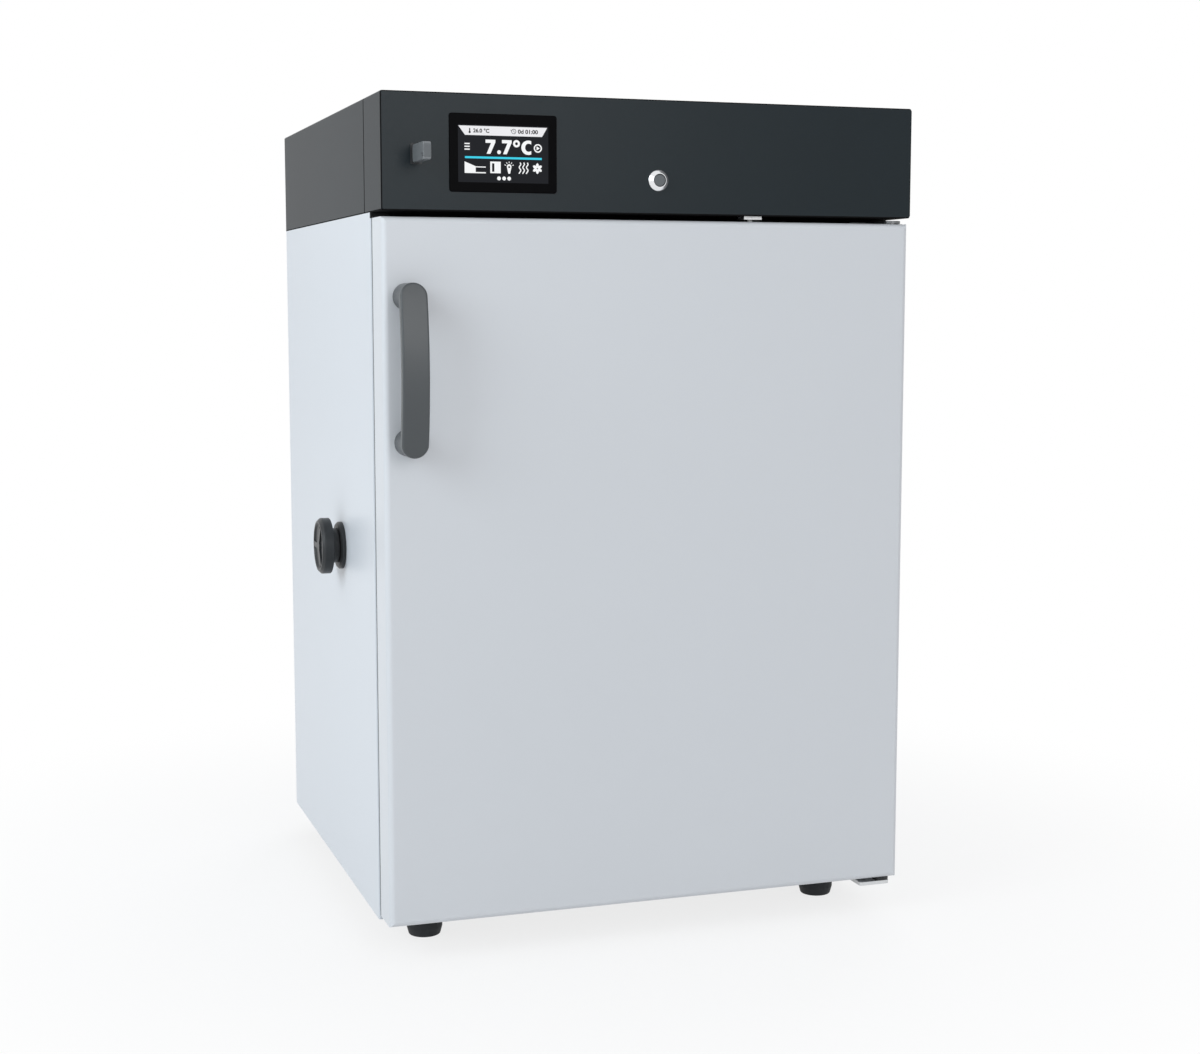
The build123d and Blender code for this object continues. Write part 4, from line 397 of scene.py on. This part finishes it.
def ui(points):
    return [((SCREEN_LEFT + u) * MM, (SCREEN_TOP - v) * MM) for u, v in points]


def ui_piece(name, shapes, look, lift=1):
    """Flat shapes on the display's glass, each an outline and its holes."""
    form = bmesh.new()
    for outline, *holes in shapes:
        prism_faces(form, ui(outline), glass_y - lift * LIFT, glass_y - (lift - 1) * LIFT * 0.5,
                    [ui(h) for h in holes])
    piece(name, finish_form(form, name), "cabinet", look)


def bar(u0, v0, u1, v1):
    return [(u0, v0), (u1, v0), (u1, v1), (u0, v1)]


def stroke(points, wide):
    """An open line of even width, as an outline."""
    left_side, right_side = [], []
    for i, (u, v) in enumerate(points):
        a = points[max(0, i - 1)]
        c = points[min(len(points) - 1, i + 1)]
        du, dv = c[0] - a[0], c[1] - a[1]
        size = sqrt(du * du + dv * dv)
        nu, nv = -dv / size * wide / 2, du / size * wide / 2
        left_side.append((u + nu, v + nv))
        right_side.append((u - nu, v - nv))
    return left_side + right_side[::-1]


def ui_text(name, body, u0, v0, u1, v1, look, lift, bold):
    """Words set in the built-in font and fitted between two corners."""
    curve = bpy.data.curves.new(name, "FONT")
    curve.body = body
    curve.size = 1
    curve.offset = bold
    curve.extrude = 0.01
    curve.resolution_u = 6
    holder = bpy.data.objects.new(name, curve)
    bpy.context.scene.collection.objects.link(holder)
    bpy.context.view_layer.update()
    made = holder.evaluated_get(bpy.context.evaluated_depsgraph_get())
    mesh = bpy.data.meshes.new_from_object(made)
    bpy.data.objects.remove(holder)
    bpy.data.curves.remove(curve)
    xs = [p.co.x for p in mesh.vertices]
    ys = [p.co.y for p in mesh.vertices]
    low_x, low_y = min(xs), min(ys)
    scale_x = (u1 - u0) / (max(xs) - low_x)
    scale_y = (v1 - v0) / (max(ys) - low_y)
    for p in mesh.vertices:
        u = u0 + (p.co.x - low_x) * scale_x
        v = v1 - (p.co.y - low_y) * scale_y
        y = glass_y - lift * LIFT if p.co.z > 0 else glass_y - (lift - 1) * LIFT * 0.5
        p.co = ((SCREEN_LEFT + u) * MM, y, (SCREEN_TOP - v) * MM)
    mesh.name = name
    mesh.materials.clear()
    piece(name, mesh, "cabinet", look)


ui_piece("display_status_bar", [[[(0.3, 0.4), (95.5, 0.4), (90.0, 9.8), (7.3, 9.8)]]], lit_pale)
bulb = ring_points(12.3, 6.9, 1.15, 16)
ui_piece("display_thermometer", [[bar(11.75, 2.8, 12.85, 6.2)], [bulb]], lit_dark, 2)
ui_text("display_room_reading", "26.0 °C", 16.0, 2.9, 33.2, 7.2, lit_dark, 2, 0.03)
clock = [
    [ring_points(59.4, 5.0, 2.6), ring_points(59.4, 5.0, 2.1)],
    [stroke([(59.4, 3.5), (59.4, 5.2), (60.6, 5.9)], 0.45)],
    [stroke([(56.1, 3.4), (56.7, 4.6), (58.0, 4.2)], 0.45)],
]
ui_piece("display_clock", clock, lit_dark, 2)
ui_text("display_elapsed", "0d 01:00", 63.9, 2.9, 85.5, 7.2, lit_dark, 2, 0.03)
ui_piece("display_menu", [[bar(6.7, v, 12.3, v + 1.25)] for v in (17.9, 20.75, 23.6)], lit_white)

# Digits of the main reading, drawn as bold strokes
big = [
    [[(29.1, 14.0), (39.6, 14.0), (39.6, 16.6), (34.2, 28.4), (30.2, 28.4), (35.0, 17.3),
      (29.1, 17.3)]],
    [ring_points(43.5, 26.5, 2.0)],
    [[(46.7, 14.0), (57.1, 14.0), (57.1, 16.6), (51.8, 28.4), (47.8, 28.4), (52.6, 17.3),
      (46.7, 17.3)]],
    [ring_points(62.3, 17.4, 3.75), ring_points(62.3, 17.4, 1.5)],
]
letter_outside = [(78.2, 14.35), (76.0, 13.85), *arc_points(74.9, 21.2, 7.4, 7.35, 270, 90, 16),
                  (76.2, 28.5), (78.2, 28.0)]
letter_inside = [(78.2, 24.5), (76.4, 25.2), *arc_points(75.2, 21.2, 3.6, 4.15, 90, 270, 16),
                 (76.4, 17.1), (78.2, 17.8)]
big.append([letter_outside + letter_inside])
ui_piece("display_reading", big, lit_white)
ui_piece("display_play", [[ring_points(85.4, 21.6, 4.4), ring_points(85.4, 21.6, 3.1)],
                          [[(84.0, 19.5), (87.5, 21.6), (84.0, 23.7)]]], lit_white)
ui_piece("display_line", [[bar(7.1, 31.3, 89.6, 33.4)]], lit_cyan)
graph = [
    [[(6.7, 36.7), (18.4, 41.4), (18.4, 47.2), (29.2, 47.2), (29.2, 48.4), (6.7, 48.4)]],
    [bar(18.4, 41.5, 29.2, 42.5)],
]
ui_piece("display_graph", graph, lit_white)
ui_piece("display_door", [[bar(34.0, 36.2, 45.2, 48.0), bar(35.9, 38.0, 38.4, 46.6)]], lit_white)
LAMP_U, LAMP_V, RAY_IN, RAY_OUT = 54.3, 41.0, 3.6, 5.2
rays = []
for a in (-160, -125, -90, -55, -20):
    du, dv = cos(radians(a)), sin(radians(a))
    ends = [(LAMP_U + r * du, LAMP_V + r * dv) for r in (RAY_IN, RAY_OUT)]
    rays.append([stroke(ends, 0.75)])
lamp_icon = [arc_points(LAMP_U, LAMP_V, 2.5, 2.5, -200, 20, 11) + [(55.3, 48.2), (53.3, 48.2)],
             ring_points(54.3, 41.4, 1.1, 12)]
ui_piece("display_light", [lamp_icon, *rays], lit_white)
WAVE_TOP, WAVE_HEIGHT, WAVE_REACH, WAVE_TURNS, WAVE_STEPS = 36.6, 11.5, 0.85, 3.6, 24
waves = []
for u in (66.0, 69.9, 73.8):
    parts = [i / WAVE_STEPS for i in range(WAVE_STEPS + 1)]
    line = [(u + WAVE_REACH * sin(k * WAVE_TURNS * pi), WAVE_TOP + WAVE_HEIGHT * k) for k in parts]
    waves.append([stroke(line, 1.2)])
ui_piece("display_heat", waves, lit_white)
FLAKE_U, FLAKE_V = 84.8, 42.3
FLAKE_RADII = (5.6, 4.7, 3.2, 4.7)
flake = []
for i in range(24):
    r, a = FLAKE_RADII[i % 4], pi / 2 + i * pi / 12
    flake.append((FLAKE_U + r * cos(a), FLAKE_V + r * sin(a)))
ui_piece("display_cooling", [[flake, ring_points(FLAKE_U, FLAKE_V, 0.7, 10)]], lit_white)
ui_piece("display_pages", [[ring_points(u, 53.2, 2.0, 24)] for u in (43.3, 48.8, 54.2)], lit_white)


TURNED_STEPS = 96
TURNED_EDGE = radians(35)


def turned(name, profile, place):
    """Turns a closed profile of depths and radii into a ring.

    place gives a point from a depth and two offsets.
    """
    form = bmesh.new()
    rings = []
    for depth, radius in profile:
        circle = ring_points(0, 0, radius * MM, TURNED_STEPS)
        rings.append([form.verts.new(place(depth, u, w)) for u, w in circle])
    for near, off in zip(rings, rings[1:] + rings[:1]):
        for i in range(TURNED_STEPS):
            j = (i + 1) % TURNED_STEPS
            form.faces.new((near[i], near[j], off[j], off[i]))
    bmesh.ops.recalc_face_normals(form, faces=form.faces)
    for face in form.faces:
        face.smooth = True
    mesh = finish_form(form, name)
    mesh.set_sharp_from_angle(angle=TURNED_EDGE)
    return mesh


# The push button's ring: a polished cone with a rolled rim, and behind it the thread and the nut
ring_low, ring_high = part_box("button_ring")
RING_PROUD = 6.0
RING_PROFILE = [
    (-5.60, 6.80), (-5.88, 6.88), (-6.00, 7.08), (-5.92, 7.30), (-5.20, 8.02), (-4.20, 9.08),
    (-3.20, 10.12), (-2.20, 11.08), (-1.75, 11.38), (-1.30, 11.50), (0.00, 11.50), (0.00, 8.00),
    (1.80, 8.00), (1.80, 11.50), (4.80, 11.50), (4.80, 8.00), (18.00, 8.00), (18.00, 6.80),
]
ring_x, ring_z = (ring_low.x + ring_high.x) / 2, (ring_low.z + ring_high.z) / 2
mesh = turned("button_bezel", RING_PROFILE,
              lambda depth, u, w: (ring_x + u, ring_low.y + (RING_PROUD + depth) * MM, ring_z + w))
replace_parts(piece("button_bezel", mesh, "cabinet", chrome), "button_ring")

# A grip band round the port plug's head, from behind its face to past its back
plug_low, plug_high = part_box("port_plug")
plug_y, plug_z = (plug_low.y + plug_high.y) / 2, (plug_low.z + plug_high.z) / 2
BAND_PROFILE = [
    (3.6, 31.7), (4.0, 32.1), (12.6, 32.1), (13.4, 31.3), (13.4, 19.9), (7.0, 19.9), (3.6, 28.0),
]
mesh = turned("port_plug_band", BAND_PROFILE,
              lambda depth, u, w: (plug_low.x + depth * MM, plug_y + u, plug_z + w))
piece("port_plug_band", mesh, "port_plug", plug_plastic)

# Fasteners
BACK_Y = 295.0
SOCKET_SHARE = 0.42
SCREW_STEPS = 24


def screw_form(form, place, axis, radius, rise, socket):
    """A domed screw head with a hexagonal socket. The head stands on place and looks along axis."""
    steps = SCREW_STEPS
    turn = Vector(axis).to_track_quat("Z", "Y").to_matrix().to_4x4()
    move = Matrix.Translation(Vector(place)) @ turn

    def hexagon(r, i):
        a = 2 * pi * i / steps
        k = (a % (pi / 3)) - pi / 6
        return r * cos(pi / 6) / cos(k)

    rings = [
        [(radius, 0.0)] * steps,
        [(radius, rise * 0.45)] * steps,
        [(radius * 0.86, rise * 0.82)] * steps,
        [(radius * 0.62, rise)] * steps,
        [(hexagon(socket, i), rise) for i in range(steps)],
        [(hexagon(socket, i), rise * 0.35) for i in range(steps)],
    ]
    made = []
    for ring in rings:
        angles = [2 * pi * i / steps for i in range(steps)]
        points = [Vector((r * cos(a), r * sin(a), h)) for a, (r, h) in zip(angles, ring)]
        made.append([form.verts.new(move @ point) for point in points])
    for low, high in zip(made, made[1:]):
        for i in range(steps):
            j = (i + 1) % steps
            form.faces.new((low[i], low[j], high[j], high[i]))
    form.faces.new(made[-1])
    form.faces.new(made[0][::-1])


def screws(name, places, axis, radius, rise):
    """A row of panel screws. Their places, radius and rise are in millimetres."""
    form = bmesh.new()
    for place in places:
        place = [c * MM for c in place]
        screw_form(form, place, axis, radius * MM, rise * MM, radius * SOCKET_SHARE * MM)
    piece(name, finish_form(form, name), "cabinet", wire_steel)


back_rows = (50, 180, 330, 480, 630, 780)
screws("back_panel_screws", [(x, BACK_Y, z) for x in (-284, 284) for z in back_rows],
       (0, 1, 0), 4.2, 1.9)
screws("head_cover_screws", [(x, BACK_Y, z) for x in (-285, -60, 20, 285) for z in (804, 906)],
       (0, 1, 0), 3.8, 1.8)
duct_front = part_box("duct_panel")[0].y / MM
screws("duct_panel_screws", [(x, duct_front, z) for x in (-228, 228) for z in (292, 440, 560, 728)],
       (0, -1, 0), 4.0, 1.8)
RACK_DEPTH = 2.0
for side, name in ((-1, "rack_screws_left"), (1, "rack_screws_right")):
    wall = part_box("shelf_rack_left" if side < 0 else "shelf_rack_right")
    face = wall[0].x / MM + RACK_DEPTH if side < 0 else wall[1].x / MM - RACK_DEPTH
    screws(name, [(face, y, z) for y in (-164, 124) for z in (300, 400, 550)],
           (-side, 0, 0), 4.0, 1.8)

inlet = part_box("mains_inlet")
inlet_x = (inlet[0].x + inlet[1].x) / 2 / MM
screws("inlet_screws", [(inlet_x, inlet[1].y / MM, z) for z in (829.2, 883.0)], (0, 1, 0), 1.9, 0.5)

# Painted shade of the hexagonal sockets of the flush hinge screws, whose heads lie in the legs'
# front faces: thin near-black hexagons where the recesses would lie in shadow
HINGE_SCREWS_X = (274.4, 260.4)
HINGE_SOCKET, SOCKET_HALF = 1.9, 0.05
leg_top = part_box("hinge_plate_top")[1].z - 13.5 * MM
leg_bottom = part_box("hinge_bracket_bottom")[0].z + 17.5 * MM
form = bmesh.new()
for z, thickness in ((leg_top, 3.0), (leg_bottom, 4.0)):
    leg_y = cabinet_front_y - thickness * MM
    for x in HINGE_SCREWS_X:
        prism_faces(form, ring_points(x * MM, z, HINGE_SOCKET * MM, 6),
                    leg_y - SOCKET_HALF * MM, leg_y + SOCKET_HALF * MM)
mesh = finish_form(form, "hinge_socket_shades")
piece("hinge_socket_shades", mesh, "cabinet", socket_shade_look)

# Marks on the rocker, tilted with it
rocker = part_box("mains_rocker")
rocker_x = (rocker[0].x + rocker[1].x) / 2
PIVOT_Y, PIVOT_Z, TILT = 294.5 * MM, 869.5 * MM, radians(7)
ROCKER_RADIUS, ROCKER_FACE = 36.7, 1.25
MARK_PROUD, MARK_SUNK = 0.10, 0.15


def rocker_mark(name, outline, holes, up):
    """A flat mark in millimetres, laid on the rocker's curved face at a height above its middle."""
    form = bmesh.new()
    prism_faces(form, outline, 0.0, 1.0, holes)
    mesh = finish_form(form, name)
    for p in mesh.vertices:
        local_z = p.co.z + up
        face = ROCKER_FACE + ROCKER_RADIUS - sqrt(ROCKER_RADIUS ** 2 - local_z ** 2)
        y = (face + (MARK_PROUD if p.co.y > 0.5 else -MARK_SUNK)) * MM
        z = local_z * MM
        p.co = (rocker_x + p.co.x * MM, PIVOT_Y + y * cos(TILT) - z * sin(TILT),
                PIVOT_Z + y * sin(TILT) + z * cos(TILT))
    piece(name, mesh, "mains_rocker", white_plastic)


rocker_mark("rocker_mark_on", bar(-0.4, -1.9, 0.4, 1.9), [], -4.9)
rocker_mark("rocker_mark_off", ring_points(0, 0, 2.0), [ring_points(0, 0, 1.3)], 4.9)

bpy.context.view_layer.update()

# Floor: it keeps the shadow near the object and runs out to plain white further off, in metres
FADE_FROM, FADE_TO, FADE_LEAST = 0.35, 1.1, 0.78

floor = bpy.data.objects.new("floor", bpy.data.meshes.new("floor"))
form = bmesh.new()
corners = [form.verts.new(c) for c in ((-30, -12, 0), (30, -12, 0), (30, 60, 0), (-30, 60, 0))]
form.faces.new(corners)
form.to_mesh(floor.data)
form.free()
bpy.context.scene.collection.objects.link(floor)
floor_look, t, b = shader("floor")
b.inputs["Base Color"].default_value = (0.86, 0.86, 0.86, 1)
b.inputs["Roughness"].default_value = 0.8
ray = add_node(t, "ShaderNodeLightPath")
sight = add_node(t, "ShaderNodeMath", operation="MAXIMUM")
t.links.new(ray.outputs["Is Camera Ray"], sight.inputs[0])
t.links.new(ray.outputs["Is Glossy Ray"], sight.inputs[1])
white = add_node(t, "ShaderNodeEmission", Color=(1, 1, 1, 1), Strength=1.0)
where = add_node(t, "ShaderNodeTexCoord")
far = add_node(t, "ShaderNodeVectorMath", operation="LENGTH")
t.links.new(where.outputs["Object"], far.inputs[0])
fade = add_node(t, "ShaderNodeMapRange", interpolation_type="SMOOTHSTEP")
fade.inputs["From Min"].default_value = FADE_FROM
fade.inputs["From Max"].default_value = FADE_TO
fade.inputs["To Min"].default_value = FADE_LEAST
fade.inputs["To Max"].default_value = 1.0
t.links.new(far.outputs["Value"], fade.inputs["Value"])
share = add_node(t, "ShaderNodeMath", operation="MULTIPLY")
t.links.new(sight.outputs[0], share.inputs[0])
t.links.new(fade.outputs[0], share.inputs[1])
join = add_node(t, "ShaderNodeMixShader")
t.links.new(share.outputs[0], join.inputs[0])
t.links.new(b.outputs[0], join.inputs[1])
t.links.new(white.outputs[0], join.inputs[2])
t.links.new(join.outputs[0], t.nodes["Material Output"].inputs["Surface"])
floor.data.materials.append(floor_look)
